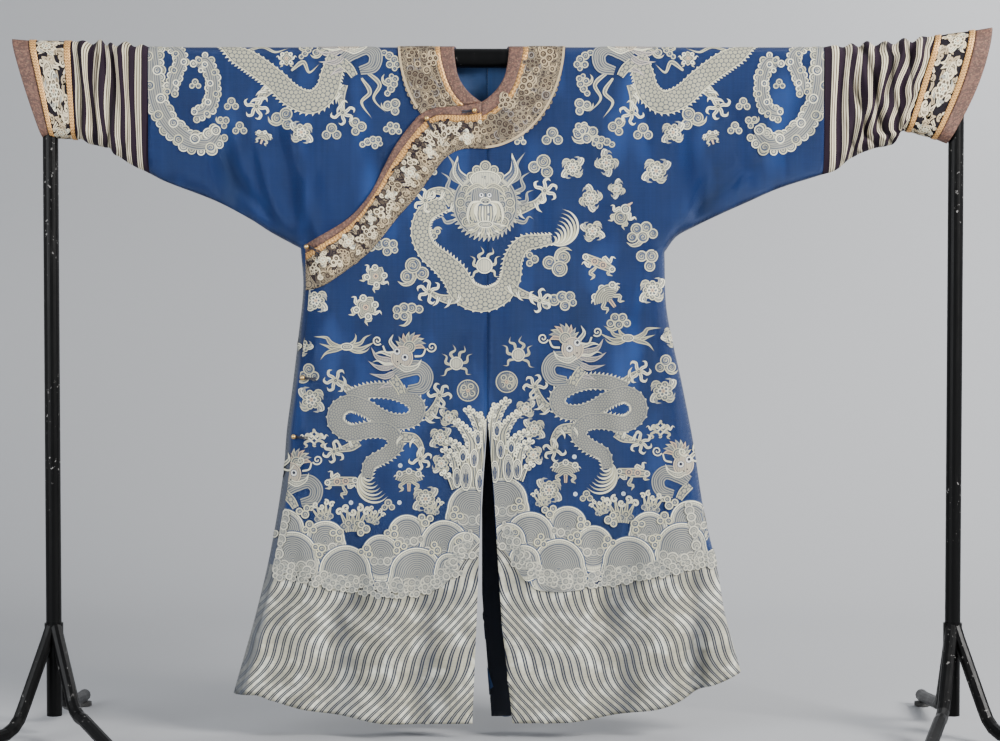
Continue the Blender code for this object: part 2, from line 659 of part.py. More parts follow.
def stand(side):
    word = "left" if side == LEFT else "right"
    x = side * POST_SPACING / 2
    post = cylinder(f"post_{word}", POST_RADIUS, (x, BAR_Y, POST_FOOT), (x, BAR_Y, BAR_HEIGHT), BLACK_STEEL)
    cut(post, cylinder(f"cut_post_{word}", BAR_RADIUS + SEAM, (x - 0.1, BAR_Y, BAR_HEIGHT),
                       (x + 0.1, BAR_Y, BAR_HEIGHT), sides=48))
    hub = cylinder(f"hub_{word}", HUB_RADIUS, (x, BAR_Y, HUB_HEIGHTS[0]), (x, BAR_Y, HUB_HEIGHTS[1]),
                   BLACK_STEEL)
    cut(hub, cylinder(f"cut_hub_{word}", POST_RADIUS + SEAM, (x, BAR_Y, HUB_HEIGHTS[0] - 0.01),
                      (x, BAR_Y, HUB_HEIGHTS[1] + 0.01)))
    earlier = []
    for number, (turn, raised) in enumerate(LEG_TURNS[side]):
        out = Vector((math.cos(math.radians(turn)), math.sin(math.radians(turn)), 0))
        base = Vector((x, BAR_Y, 0))
        path = [base + out * away + Vector((0, 0, height + raised * share))
                for away, height, share in LEG_LINE]
        leg = swept_tube(f"leg_{word}_{number}", path, LEG_RADIUS, BLACK_STEEL)
        cut(leg, cylinder(f"cut_leg_{word}_{number}", HUB_RADIUS + SEAM, base + Vector((0, 0, 0.1)),
                          base + Vector((0, 0, 0.3)), sides=48))
        for other in earlier:
            cut(leg, swept_tube(f"cope_{word}_{number}_{other[0]}", other[1], LEG_RADIUS + SEAM, None))
        earlier.append((number, path[:3]))
        seat = base + out * LEG_REACH
        height = LEG_LINE[-1][1] - LEG_RADIUS - SEAM
        cylinder(f"foot_{word}_{number}", FOOT_RADIUS, seat, seat + Vector((0, 0, height)), BLACK_RUBBER, 24)


# ---------------------------------------------------------------- build
for old in list(bpy.data.objects):
    bpy.data.objects.remove(old, do_unlink=True)

BLUE_SILK = material("blue_silk", (0.035, 0.110, 0.290), 0.55)
BROCADE = material("brocade", (0.330, 0.290, 0.220), 0.65)
ROSE_BORDER = material("rose_border", (0.270, 0.130, 0.090), 0.70)
GOLD_BRAID = material("gold_braid", (0.600, 0.380, 0.140), 0.45)
STRIPED_SILK = material("striped_silk", (0.090, 0.060, 0.085), 0.55)
NAVY_FACING = material("navy_facing", (0.004, 0.007, 0.018), 0.80)
NAVY_CORD = material("navy_cord", (0.010, 0.014, 0.030), 0.70)
GILT = material("gilt", (0.750, 0.520, 0.220), 0.30, 0.9)
BLACK_STEEL = material("black_steel", (0.012, 0.012, 0.013), 0.40)
BLACK_RUBBER = material("black_rubber", (0.020, 0.020, 0.020), 0.90)

neck_hole = [neck_line(a, 0.0) for a in ANGLES] + [neck_line(-a, 0.0) for a in ANGLES[-2:0:-1]]

# the body: two halves joined down the centre, and the outer front that laps to the wearer's right
left_half = [arm_patch(FRONT, LEFT), chest_patch(FRONT, LEFT), skirt_patch(FRONT, LEFT),
             arm_patch(BACK, LEFT), chest_patch(BACK, LEFT), skirt_patch(BACK, LEFT)]
right_half = [arm_patch(FRONT, RIGHT), chest_patch(FRONT, RIGHT),
              skirt_patch(FRONT, RIGHT, rows=UNDERLAP_ROWS),
              arm_patch(BACK, RIGHT), chest_patch(BACK, RIGHT), skirt_patch(BACK, RIGHT)]
piece("body_left", left_half, BLUE_SILK, outer=True, without=[neck_hole])
piece("body_right", right_half, BLUE_SILK, without=[neck_hole])
LAP_COLUMN = 2                               # the lap's side edge is this column of the grid
lap_patches = [(face, columns[LAP_COLUMN:]) for face, columns in
               (chest_patch(FRONT, RIGHT), skirt_patch(FRONT, RIGHT))]
piece("overlap", lap_patches, BLUE_SILK, outer=True, within=lap_area(0.0))

# collar, borders and braid round the neck and along the lap
outer_cloth = [chest_patch(FRONT, LEFT, 0), chest_patch(BACK, LEFT), chest_patch(FRONT, RIGHT, 0)]
inner_cloth = [chest_patch(FRONT, RIGHT), chest_patch(BACK, RIGHT)]
lap_cloth = [(face, columns[LAP_COLUMN:]) for face, columns in
             (chest_patch(FRONT, RIGHT, 0), skirt_patch(FRONT, RIGHT, 0))]
BRAID_INNER, BRAID_OUTER = NECK_BORDER + SEAM, NECK_BORDER + SEAM + BRAID
RINGS = (
    ("neck_border", ROSE_BORDER, lambda a: neck_line(a, 0.0), lambda a: neck_line(a, NECK_BORDER)),
    ("neck_braid", GOLD_BRAID, lambda a: neck_line(a, BRAID_INNER), lambda a: neck_line(a, BRAID_OUTER)),
    ("collar", BROCADE, lambda a: neck_line(a, BRAID_OUTER + SEAM), collar_line),
)
for name, finish, inner, outer in RINGS:
    piece(f"{name}_left", outer_cloth, finish, outer=True, lift=LIFT, wall=TRIM,
          within=round_neck(LEFT, inner, outer))
    piece(f"{name}_right", inner_cloth, finish, lift=LIFT, wall=TRIM,
          within=round_neck(RIGHT, inner, outer), without=[lap_area(2 * SEAM)])

BORDER_SHARE, BRAID_SHARE = 0.80, 0.81
EDGE_LINES, BAND_LINES = (LAP_EDGE, BRAID_LINE), (BRAID_LINE, BAND_LINE)
for name, finish, first, second in (
        ("lap_border", ROSE_BORDER, lap_line(EDGE_LINES, 0.0), lap_line(EDGE_LINES, BORDER_SHARE)),
        ("lap_braid", GOLD_BRAID, lap_line(EDGE_LINES, BRAID_SHARE), lap_line(EDGE_LINES, 1.0)),
        ("front_band", BROCADE, lap_line(BAND_LINES, 0.0, SEAM), lap_line(BAND_LINES, 1.0))):
    piece(name, lap_cloth, finish, outer=True, lift=LIFT, wall=TRIM, within=strip(first, second))

# facing inside the back, beside the slit
facing = [(line_at(CENTRE_EDGE[BACK, LEFT], drop) + SEAM + away, -run_of(drop))
          for away, drops in ((0.0, (FACING_TOP, 0.96, 1.14, FACING_BOTTOM)),
                              (FACING_WIDTH, (FACING_BOTTOM, FACING_TOP))) for drop in drops]
piece("slit_facing", [skirt_patch(BACK, LEFT)], NAVY_FACING, lift=-CLOTH - LIFT, wall=TRIM, within=facing)

# sleeve ends
for side, word in ((LEFT, "left"), (RIGHT, "right")):
    tube(f"stripes_{word}", side, gather_columns(side), STRIPED_SILK)
    edge = seam_share(side, 1, SEAM)
    tube(f"cuff_{word}", side, [cuff_column(side, at) for at in (0.0, 0.5, 1 - edge / 2)], BROCADE)
    tube(f"cuff_border_{word}", side, [cuff_column(side, at) for at in (1 + edge / 2, 2.0)], ROSE_BORDER)
    broad = seam_share(side, 0, BRAID)
    for part, first in (("inner", 0.02), ("outer", 1 - broad - 0.01)):
        tube(f"cuff_braid_{part}_{word}", side, [cuff_column(side, at) for at in (first, first + broad)],
             GOLD_BRAID, LIFT, TRIM)

for name, (reach, drop, direction, base) in BUTTONS.items():
    closure(name, reach, drop, direction, base)

# the bar and its stands; the right cuff is open below where its post comes up
cylinder("bar", BAR_RADIUS, (-BAR_END, BAR_Y, BAR_HEIGHT), (BAR_END, BAR_Y, BAR_HEIGHT), BLACK_STEEL, 48)
for side in (LEFT, RIGHT):
    stand(side)
post_way = (-POST_SPACING / 2, BAR_Y)
clearing = cylinder("cut_cuffs", POST_RADIUS + POST_CLEARANCE, (*post_way, 1.0), (*post_way, BAR_HEIGHT))
for name in ("cuff_right", "cuff_border_right", "cuff_braid_outer_right"):
    cut(bpy.data.objects[name], clearing)
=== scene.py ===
# %% [markdown]
# # A dragon robe hanging on its bar
# The solid model of the robe is the frame of this lesson: every piece made here sits on it.
# The real robe is a silk coat, cut as two big panels that run over the shoulders from front hem to
# back hem, with one more front panel that laps to the wearer's right. We rebuild each panel as a
# thin shell on the form of its solid, then add what the solids leave out: weave, embroidery,
# brocade, braid, gathers and creases.

# %% The frame
from contextlib import contextmanager
from functools import partial
from math import atan2, ceil, cos, hypot, pi, radians, sin, sqrt

import bmesh
import bpy
import numpy as np
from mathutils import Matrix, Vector
from mathutils.geometry import delaunay_2d_cdt


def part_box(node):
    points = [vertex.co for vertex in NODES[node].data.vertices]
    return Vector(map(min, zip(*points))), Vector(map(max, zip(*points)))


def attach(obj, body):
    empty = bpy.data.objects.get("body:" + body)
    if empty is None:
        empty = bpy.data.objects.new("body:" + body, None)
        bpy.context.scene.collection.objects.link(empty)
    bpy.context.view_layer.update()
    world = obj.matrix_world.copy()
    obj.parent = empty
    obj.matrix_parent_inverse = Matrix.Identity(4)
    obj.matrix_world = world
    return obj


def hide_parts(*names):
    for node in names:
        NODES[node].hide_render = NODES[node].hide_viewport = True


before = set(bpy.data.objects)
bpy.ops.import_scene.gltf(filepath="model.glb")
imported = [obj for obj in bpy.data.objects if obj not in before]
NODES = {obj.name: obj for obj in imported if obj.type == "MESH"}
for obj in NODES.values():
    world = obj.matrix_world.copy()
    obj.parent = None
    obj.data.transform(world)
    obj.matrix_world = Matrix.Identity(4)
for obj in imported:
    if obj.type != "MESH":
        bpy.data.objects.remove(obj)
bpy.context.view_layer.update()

print("frame loaded:", len(NODES), "nodes")

# %% [markdown]
# ## Camera and light
# A robe is best seen from far away through a long lens, so that the cloth keeps its proportions. The
# camera stands a little above the middle and looks slightly down. Big area lights give soft shadows,
# and a curved sheet of pale paper behind the stand gives an even background.

# %% Camera
ROBE_PLANE = -0.043
camera = bpy.data.objects.new("camera", bpy.data.cameras.new("camera"))
bpy.context.scene.collection.objects.link(camera)
camera.location = (-0.0068, ROBE_PLANE - 4.6, 0.924)
camera.rotation_euler = (radians(88.0), 0.0, 0.0)
camera.data.sensor_width = 36.0
camera.data.lens = 80.18
bpy.context.scene.camera = camera
print("camera at", tuple(round(v, 3) for v in camera.location))


# %% Lights and the paper backdrop
def area_light(name, place, aim, size, power, colour=(1.0, 1.0, 1.0)):
    """A square soft light at a place, facing a point."""
    lamp = bpy.data.lights.new(name, "AREA")
    lamp.shape, lamp.size, lamp.energy, lamp.color = "SQUARE", size, power, colour
    made = bpy.data.objects.new(name, lamp)
    bpy.context.scene.collection.objects.link(made)
    made.location = place
    made.rotation_euler = (Vector(aim) - Vector(place)).to_track_quat("-Z", "Y").to_euler()
    return made


area_light("key_light", (3.6, -2.7, 3.0), (0.0, 0.0, 0.9), 1.8, 430.0, (1.0, 0.985, 0.96))
area_light("fill_light", (-3.2, -3.0, 1.8), (0.0, 0.0, 0.8), 2.4, 142.0, (0.95, 0.975, 1.0))
area_light("background_light", (2.6, 1.2, 2.6), (0.6, 3.0, 1.0), 1.8, 92.0)
world = bpy.data.worlds.new("studio")
world.use_nodes = True
world.node_tree.nodes["Background"].inputs["Color"].default_value = (0.86, 0.89, 0.94, 1)
world.node_tree.nodes["Background"].inputs["Strength"].default_value = 0.78
bpy.context.scene.world = world
print("lights:", [lamp.name for lamp in bpy.data.lights])

# %% [markdown]
# ## A small language for finishes
# Each finish here is worked out from numbers that the piece carries: its flat coordinates, its place,
# and noise. A shader does such sums with nodes. Wrapped in a class that knows plus, minus and times,
# a node's result can be written like any number, and a finish reads as a few short lines.


# %% Results and finishes
def feed(socket, value):
    """Links a result into a socket, or sets a number or a colour on it."""
    if isinstance(value, Value):
        socket.id_data.links.new(value.socket, socket)
    else:
        socket.default_value = (*value, 1.0) if socket.type == "RGBA" and len(value) == 3 else value


class Value:
    """A result inside a shader. It is added, multiplied and blended like any number."""

    def __init__(self, socket):
        self.socket = socket

    def made(self, kind, inputs, output=0, **settings):
        """The output of a new node whose inputs are given by their place or name."""
        node = self.socket.id_data.nodes.new("ShaderNode" + kind)
        for key, value in settings.items():
            setattr(node, key, value)
        for key, value in inputs.items():
            feed(node.inputs[key], value)
        return Value(node.outputs[output])

    def reckon(self, operation, *inputs):
        return self.made("Math", dict(enumerate(inputs or (self,))), operation=operation)

    def __rsub__(self, other):
        return self.reckon("SUBTRACT", other, self)

    def __rtruediv__(self, other):
        return self.reckon("DIVIDE", other, self)

    def held(self):
        """The same result, kept between 0 and 1."""
        self.socket.node.use_clamp = True
        return self

    def between(self, low, high):
        """0 up to a low value, 1 from a high one, straight between them."""
        return self.made("MapRange", {0: self, 1: low, 2: high})

    def blend(self, one, two):
        """One colour blended into another by this share."""
        return self.made("Mix", {0: self, 6: one, 7: two}, 2, data_type="RGBA")

    def ramp(self, stops):
        """A colour looked up in a row of stops: (place, colour)."""
        found = self.made("ValToRGB", {0: self})
        elements = found.socket.node.color_ramp.elements
        while len(elements) < len(stops):
            elements.new(0.5)
        for element, (place, colour) in zip(elements, stops):
            element.position, element.color = place, (*colour, 1.0)
        return found

    def noise(self, scale, detail, roughness=0.5):
        return self.made("TexNoise", {"Vector": self, "Scale": scale, "Detail": detail, "Roughness": roughness})

    def stretched(self, scale, turn=0.0):
        return self.made("Mapping", {"Vector": self, "Scale": scale, "Rotation": (0.0, 0.0, turn)})

    def part(self, k):
        return self.made("SeparateXYZ", {0: self}, k)


for word, operation in (("__add__", "ADD"), ("__sub__", "SUBTRACT"), ("__mul__", "MULTIPLY"), ("larger", "MAXIMUM"),
                        ("over", "GREATER_THAN"), ("wave", "SINE"), ("turn", "FRACT"), ("size", "ABSOLUTE")):
    setattr(Value, word, lambda self, *other, operation=operation: self.reckon(operation, self, *other))


class Finish:
    """A material under construction: what it reads from the piece, and the shader that it ends in."""

    def __init__(self, name, roughness=0.6, metallic=0.0, **constants):
        self.made = bpy.data.materials.new(name)
        self.made.use_nodes = True
        self.nodes = self.made.node_tree.nodes
        self.shader = self.nodes["Principled BSDF"].inputs
        for socket, value in dict(roughness=roughness, metallic=metallic, **constants).items():
            self.shader[socket.replace("_", " ").title().replace("Ior", "IOR")].default_value = value

    def read(self, kind, output, **settings):
        node = self.nodes.new("ShaderNode" + kind)
        for key, value in settings.items():
            setattr(node, key, value)
        return Value(node.outputs[output])

    def flat(self):
        return self.read("UVMap", 0, uv_map="flat")

    def place(self):
        return self.read("TexCoord", "Object")

    def number(self, name, output="Fac"):
        return self.read("Attribute", output, attribute_name=name)

    def weave(self, thread=0.0006, slub=0.5):
        """Height, streak and patch of the weave."""
        node = self.nodes.new("ShaderNodeGroup")
        node.node_tree = WEAVE
        for socket, value in zip(node.inputs, (self.flat(), thread, slub)):
            feed(socket, value)
        return [Value(socket) for socket in node.outputs]

    def done(self, colour, height, relief=0.0003, strength=0.6, **others):
        """Links the colour, the relief and other results into the shader, and gives the material."""
        normal = height.made("Bump", {"Strength": strength, "Distance": relief, "Height": height})
        for socket, value in dict(base_color=colour, normal=normal, **others).items():
            feed(self.shader[socket.replace("_", " ").title()], value)
        return self.made


print("a result knows", [word for word in vars(Value) if not word.startswith("_")])


# %% The backdrop
def backdrop():
    """A sheet of paper: floor, a wide bend, and wall."""
    line = [(-4.2, -0.002)] + [(1.6 + 1.3 * sin(a), 1.298 - 1.3 * cos(a))
                               for a in np.radians(np.arange(0, 91, 6))] + [(2.9, 5.0)]
    verts = [(x, y, z) for y, z in line for x in (-6.0, 6.0)]
    faces = [(2 * k, 2 * k + 1, 2 * k + 3, 2 * k + 2) for k in range(len(line) - 1)]
    mesh = bpy.data.meshes.new("backdrop")
    mesh.from_pydata(verts, [], faces)
    mesh.shade_smooth()
    made = bpy.data.objects.new("backdrop", mesh)
    bpy.context.scene.collection.objects.link(made)
    paper = Finish("pale_paper", 0.9)
    feed(paper.shader["Base Color"], paper.place().noise(0.6, 2).blend((0.325, 0.33, 0.341), (0.343, 0.348, 0.359)))
    # seen from behind the paper is open, so that it never hides the robe's back
    behind = paper.read("NewGeometry", "Backfacing")
    sides = {0: behind, 1: Value(paper.nodes["Principled BSDF"].outputs[0]), 2: paper.read("BsdfTransparent", 0)}
    feed(paper.nodes["Material Output"].inputs["Surface"], behind.made("MixShader", sides))
    mesh.materials.append(paper.made)
    return made


backdrop()

# %% [markdown]
# ## The form of the hanging cloth
# A hanging robe is easiest to think of flat. Each point of it has a reach, its distance from the
# centre seam towards the wearer's left sleeve, and a run, its distance along the cloth from the
# shoulder line, positive down the front and negative down the back. One function turns reach and
# run into a place in space, so everything that is sewn on the robe can be drawn on the flat cloth.
# The tables are those of the solids.

# %% Sizes and tables of the robe
CLOTH, TRIM, SEAM, LIFT = 0.002, 0.0012, 0.0003, 0.0008
SHEET_WALL = 0.0014
BAR_RADIUS, SHOULDER_HEIGHT, ROBE_OFFSET = 0.02, 1.432, -0.033
TOP_RADIUS = BAR_RADIUS + LIFT + CLOTH
BAR_Y = float(sum(corner.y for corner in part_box("bar")) / 2)
QUARTER = TOP_RADIUS * pi / 2
FRONT, BACK, LEFT, RIGHT = -1, 1, 1, -1
ARMPIT = {LEFT: (0.368, 0.424), RIGHT: (-0.388, 0.416)}
SLEEVE_END = {LEFT: 0.695, RIGHT: -0.7}
FOLD_ROUND, LAP, LAP_FADE, LAP_INSET = 0.05, LIFT + CLOTH, 0.25, 0.014


def metres(*rows):
    """A table that is written in millimetres."""
    return np.array(rows) / 1000


SIDE = {
    LEFT: metres((424, 368), (544, 373), (702, 406), (814, 428), (971, 453), (1085, 480), (1182, 497), (1296, 529),
                 (1380, 552)),
    RIGHT: metres((416, -388), (497, -383), (596, -393), (704, -406), (793, -418), (886, -426), (1047, -453),
                  (1182, -485), (1319, -524), (1380, -541)),
}
UNDERARM = {
    LEFT: metres((368, 424), (391, 393), (428, 372), (482, 346), (538, 321), (604, 292), (695, 263)),
    RIGHT: metres((-700, 261), (-669, 277), (-561, 319), (-491, 356), (-449, 383), (-388, 416)),
}
HEM = metres((-541, 1325), (-524, 1331), (-418, 1362), (-327, 1381), (-238, 1397), (-147, 1403), (-31, 1401),
             (52, 1401), (170, 1397), (259, 1385), (350, 1372), (439, 1335), (484, 1319), (529, 1300), (552, 1290))
CENTRE_EDGE = {
    (FRONT, LEFT): metres((0, 0), (768, 0), (913, 12), (1182, 29), (1401, 52)),
    (FRONT, RIGHT): metres((0, 0), (768, 0), (913, -12), (1182, -22), (1401, -31)),
    (BACK, LEFT): metres((0, 0), (768, 0), (960, -12), (1140, -12), (1401, 8)),
    (BACK, RIGHT): metres((0, 0), (768, 0), (960, -16), (1140, -30), (1401, -48)),
}
# Broad folds, in millimetres: reach at top, reach at bottom, first drop, last drop, height, half width.
FOLDS = {
    FRONT: (
        (430, 458, 950, 1900, -13, 20), (372, 398, 850, 1900, 9, 40), (262, 300, 800, 1900, -7, 45),
        (150, 190, 800, 1900, 8, 50), (-120, -150, 850, 1900, -6, 45), (-190, -235, 800, 1900, 9, 45),
        (-270, -330, 800, 1900, -8, 40), (-345, -425, 800, 1900, 8, 40), (-430, -300, 50, 620, 6, 40),
        (-560, -520, 50, 500, -5, 28), (330, 260, 80, 800, 6, 40), (470, 430, 50, 600, -5, 30),
        (600, 560, 50, 450, 4, 30)),
    BACK: (
        (330, 400, 500, 1900, 10, 50), (190, 220, 600, 1900, -8, 50), (80, 90, 700, 1900, 7, 50),
        (-110, -130, 700, 1900, 7, 50), (-230, -270, 600, 1900, -8, 50), (-340, -420, 500, 1900, 10, 50),
        (450, 430, 50, 600, 5, 35), (-460, -440, 50, 600, 5, 35)),
}
# Fine creases, in millimetres: reach and drop where one starts, where it ends, height, half width.
CREASES = {
    FRONT: (
        (-395, 415, -520, 60, 3.5, 14), (-410, 395, -610, 150, -3, 12), (-385, 400, -300, 120, 3, 20),
        (-640, 250, -560, 40, 2.5, 16), (372, 420, 540, 120, 3.5, 14), (385, 395, 640, 170, -3, 12),
        (365, 410, 420, 40, 3, 18), (500, 300, 560, 262, 3, 7), (360, 450, 250, 700, -2.5, 20),
        (-375, 520, -250, 760, 2.2, 22), (50, 720, 100, 1380, 3, 18), (-50, 740, -80, 1380, 2.8, 20),
        (215, 950, 240, 1380, -3, 18), (330, 1000, 350, 1370, 3, 14), (-390, 1000, -450, 1330, -3, 14),
        (-160, 1000, -175, 1380, 2.6, 16), (-300, 1130, -200, 1290, 2.2, 20), (130, 1120, 330, 1240, 2, 18)),
    BACK: (
        (-395, 415, -520, 60, 3.5, 16), (372, 420, 540, 80, 3.5, 16), (-380, 440, -240, 800, 2.6, 22),
        (365, 450, 230, 820, 2.6, 22), (300, 950, 330, 1370, -3, 18), (-290, 950, -330, 1370, -3, 18),
        (140, 1000, 150, 1380, 3, 16), (-170, 1000, -180, 1380, 3, 16)),
}
BODY_DEPTH, HEM_DEPTH, SLEEVE_FLATTEN, BODY_REACH = {FRONT: 0.033, BACK: 0.031}, 0.007, 0.005, (0.34, 0.56)
print("bar at y =", round(BAR_Y, 4), "and", sum(map(len, (*FOLDS.values(), *CREASES.values()))), "folds and creases")


# %% Curves through the tables
def smooth(share):
    share = np.clip(share, 0.0, 1.0)
    return share * share * (3 - 2 * share)


def curve_at(rows, at, column=1):
    """The value of a column where the first column is at: a smooth curve through the rows."""
    rows = np.array(rows, float)
    keys, values = rows[:, 0], rows[:, column]
    slopes = np.gradient(values, keys)
    slopes[1:-1] = (values[2:] - values[:-2]) / (keys[2:] - keys[:-2])
    at = np.clip(at, keys[0], keys[-1])
    i = np.clip(np.searchsorted(keys, at, side="right") - 1, 0, len(keys) - 2)
    width = keys[i + 1] - keys[i]
    t = (at - keys[i]) / width
    return ((2 * t**3 - 3 * t**2 + 1) * values[i] + (t**3 - 2 * t**2 + t) * width * slopes[i]
            + (3 * t**2 - 2 * t**3) * values[i + 1] + (t**3 - t**2) * width * slopes[i + 1])


def line_at(rows, at):
    return np.interp(at, *np.array(rows).T)


def pair(first, second):
    return np.stack((first, second), -1)


def nearest(points, others):
    """How far each point is from the nearest of some others."""
    parts = np.array_split(points, len(points) // 2000 + 1)
    return np.concatenate([np.linalg.norm(part[:, None] - others, axis=-1).min(1) for part in parts])


def lengths_along(line):
    """How far each point of a line is from its first, along it."""
    return np.concatenate(([0.0], np.cumsum(np.linalg.norm(np.diff(line, axis=0), axis=1))))


def along(line, at=None, share=0.0):
    """Points on a smooth curve through a line's corners, at lengths along it or at shares of its length."""
    line = np.asarray(line, float)
    lengths = lengths_along(line)
    table = np.column_stack((lengths, line))
    at = lengths[-1] * np.asarray(share) if at is None else at
    return pair(curve_at(table, at, 1), curve_at(table, at, 2))


def ways_of(line, least=0.0):
    """The directions along a flat line at each of its points, and across it."""
    ahead = np.gradient(line, axis=0)
    ahead /= np.maximum(np.linalg.norm(ahead, axis=1, keepdims=True), least)
    return ahead, pair(-ahead[:, 1], ahead[:, 0])


def distance_to_fold(reach, drop):
    """How far a point is from the sleeve's lower edge or the body's side, where front and back meet."""
    found = np.zeros_like(reach)
    for side in (LEFT, RIGHT):
        arm_reach, arm_drop = ARMPIT[side]
        past = abs(reach) - abs(arm_reach)
        under = np.maximum(curve_at(UNDERARM[side], reach) - drop, 0.0)
        beside = np.maximum(abs(curve_at(SIDE[side], drop)) - abs(reach), 0.0)
        here = np.where((past > 0) & (drop <= arm_drop), under,
                        np.where(drop > arm_drop, beside, np.hypot(past, arm_drop - drop)))
        found = np.where((reach >= 0) == (side == LEFT), here, found)
    return found


def push_of_folds(reach, drop, face):
    """How far the folds, creases and the slow unevenness of hung silk push the cloth out."""
    loose = smooth(drop / 0.15) * smooth((1.42 - drop) / 0.1)
    out = loose * (0.0036 * np.sin(31 * reach + 2.0 * np.sin(8 * drop + face)) * np.sin(9.0 * drop + 14 * reach)
                   + 0.002 * np.sin(57 * reach + 12 * drop + 3 * np.sin(11 * drop))
                   + 0.0012 * np.sin(97 * reach - 23 * drop))
    for side in (FRONT, BACK):
        for top, bottom, first, last, height, width in 0.001 * np.array(FOLDS[side]):
            t = (drop - first) / (last - first)
            strength = smooth(t / 0.4) * smooth((1 - t) / 0.4) * (face == side)
            out += 1.6 * height * strength * np.exp(-(((reach - top - (bottom - top) * t) / width) ** 2))
        for r0, d0, r1, d1, height, width in 0.001 * np.array(CREASES[side]):
            length = hypot(r1 - r0, d1 - d0)
            ur, ud = (r1 - r0) / length, (d1 - d0) / length
            t = ((reach - r0) * ur + (drop - d0) * ud) / length
            off = (reach - r0) * ud - (drop - d0) * ur + width * 0.8 * np.sin(5.0 * t + 40 * r0)
            strength = smooth(t / 0.3) * smooth((1 - t) / 0.5) * (face == side)
            out += 1.8 * height * strength * np.exp(-((off / (width * (0.7 + 0.7 * np.clip(t, 0, 1)))) ** 2))
    return out


def cloth(reach, run, outer=False, face=None):
    """Where points of the flat cloth hang. The outer front lies a lap in front of the under front."""
    reach, run = np.asarray(reach, float), np.asarray(run, float)
    face = np.where(run >= 0, FRONT, BACK) if face is None else face
    around = abs(run) < QUARTER
    drop = np.where(around, TOP_RADIUS * (1 - np.cos(np.minimum(abs(run), QUARTER) / TOP_RADIUS)),
                    abs(run) - QUARTER + TOP_RADIUS)
    body = 1 - smooth((abs(reach) - BODY_REACH[0]) / (BODY_REACH[1] - BODY_REACH[0]))
    full = np.where(face == FRONT, BODY_DEPTH[FRONT], BODY_DEPTH[BACK])
    depth = TOP_RADIUS + (full - TOP_RADIUS) * body * smooth((drop - TOP_RADIUS) / 0.4)
    depth += HEM_DEPTH * smooth((drop - 0.75) / 0.65)
    depth -= SLEEVE_FLATTEN * (1 - body) * smooth((drop - 0.05) / 0.2)
    depth += push_of_folds(reach, drop, face)
    near = np.minimum(distance_to_fold(reach, drop) / FOLD_ROUND, 1.0)
    depth *= np.sqrt(1 - (1 - near) ** 2)
    depth = np.where(around, TOP_RADIUS * np.sin(np.minimum(abs(run), QUARTER) / TOP_RADIUS), depth)
    depth = depth + np.where((face == FRONT) & outer, LAP * smooth((drop - TOP_RADIUS) / 0.08)
                             * (1 - smooth(reach / LAP_FADE)), 0.0)
    return np.stack((ROBE_OFFSET + reach, BAR_Y + face * depth, SHOULDER_HEIGHT - drop), -1)


def lifted(reach, run, lift, outer=False, face=None):
    """Points of the cloth moved out along its normal."""
    face = np.where(np.asarray(run) >= 0, FRONT, BACK) if face is None else face
    step = 0.0015
    across = cloth(reach + step, run, outer, face) - cloth(reach - step, run, outer, face)
    down = cloth(reach, run + step, outer, face) - cloth(reach, run - step, outer, face)
    normal = np.cross(down, across)
    normal /= np.maximum(np.linalg.norm(normal, axis=-1, keepdims=True), 1e-12)
    return cloth(reach, run, outer, face) + normal * np.asarray(lift)[..., None]


def run_of(drop):
    return drop + QUARTER - TOP_RADIUS


print("the hem's middle hangs at", cloth(np.array([0.1]), np.array([run_of(1.39)]))[0].round(3))

# %% [markdown]
# ## Cutting cloth
# A panel is cut in the flat plane: its outline, a few lines beside each fold so that the fold stays
# round, and a lattice of points inside are triangulated together, and each point is then hung in
# place. Front and back meet at the side and under the sleeve, where their points are merged. A
# Solidify modifier gives the wall, and the flat plane becomes the UV map, in metres.


# %% Tools for cutting
def inside(points, polygon):
    """Which of the points lie inside a polygon."""
    found = np.zeros(len(points), bool)
    x, y = points[:, 0], points[:, 1]
    for (x1, y1), (x2, y2) in zip(polygon, np.roll(polygon, -1, 0)):
        if y1 != y2:
            crosses = (y1 > y) != (y2 > y)
            found ^= crosses & (x < x1 + (y - y1) * (x2 - x1) / (y2 - y1))
    return found


def resample(line, step):
    """A line's own corners, with points added so that none are further apart than a step."""
    line = np.array(line, float)
    out = [line[:1]]
    for one, two in zip(line, line[1:]):
        count = max(int(ceil(np.linalg.norm(two - one) / step)), 1)
        out.append(one + (two - one) * (np.arange(1, count + 1) / count)[:, None])
    return np.concatenate(out)


def mesh_object(name, points, faces, finishes, uv, face_slots=None, attributes=()):
    """An object from arrays of points and triangles, with its UV map and point attributes."""
    mesh = bpy.data.meshes.new(name)
    mesh.vertices.add(len(points))
    mesh.vertices.foreach_set("co", np.asarray(points, np.float32).ravel())
    faces = np.asarray(faces, np.int32)
    mesh.loops.add(faces.size)
    mesh.polygons.add(len(faces))
    mesh.loops.foreach_set("vertex_index", faces.ravel())
    mesh.polygons.foreach_set("loop_start", np.arange(0, faces.size, faces.shape[1], dtype=np.int32))
    mesh.update(calc_edges=True)
    layer = mesh.uv_layers.new(name="flat")
    layer.data.foreach_set("uv", np.asarray(uv, np.float32)[faces.ravel()].ravel())
    for key, values in dict(attributes).items():
        kind = "FLOAT" if np.ndim(values) == 1 else "FLOAT_COLOR"
        values = np.asarray(values, np.float32)
        layer = mesh.attributes.new(key, kind, "POINT")
        layer.data.foreach_set("value" if kind == "FLOAT" else "color", values.ravel())
    for finish in finishes:
        mesh.materials.append(finish)
    if face_slots is not None:
        mesh.polygons.foreach_set("material_index", np.asarray(face_slots, np.int32))
    mesh.shade_smooth()
    made = bpy.data.objects.new(name, mesh)
    bpy.context.scene.collection.objects.link(made)
    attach(made, "root")
    return made


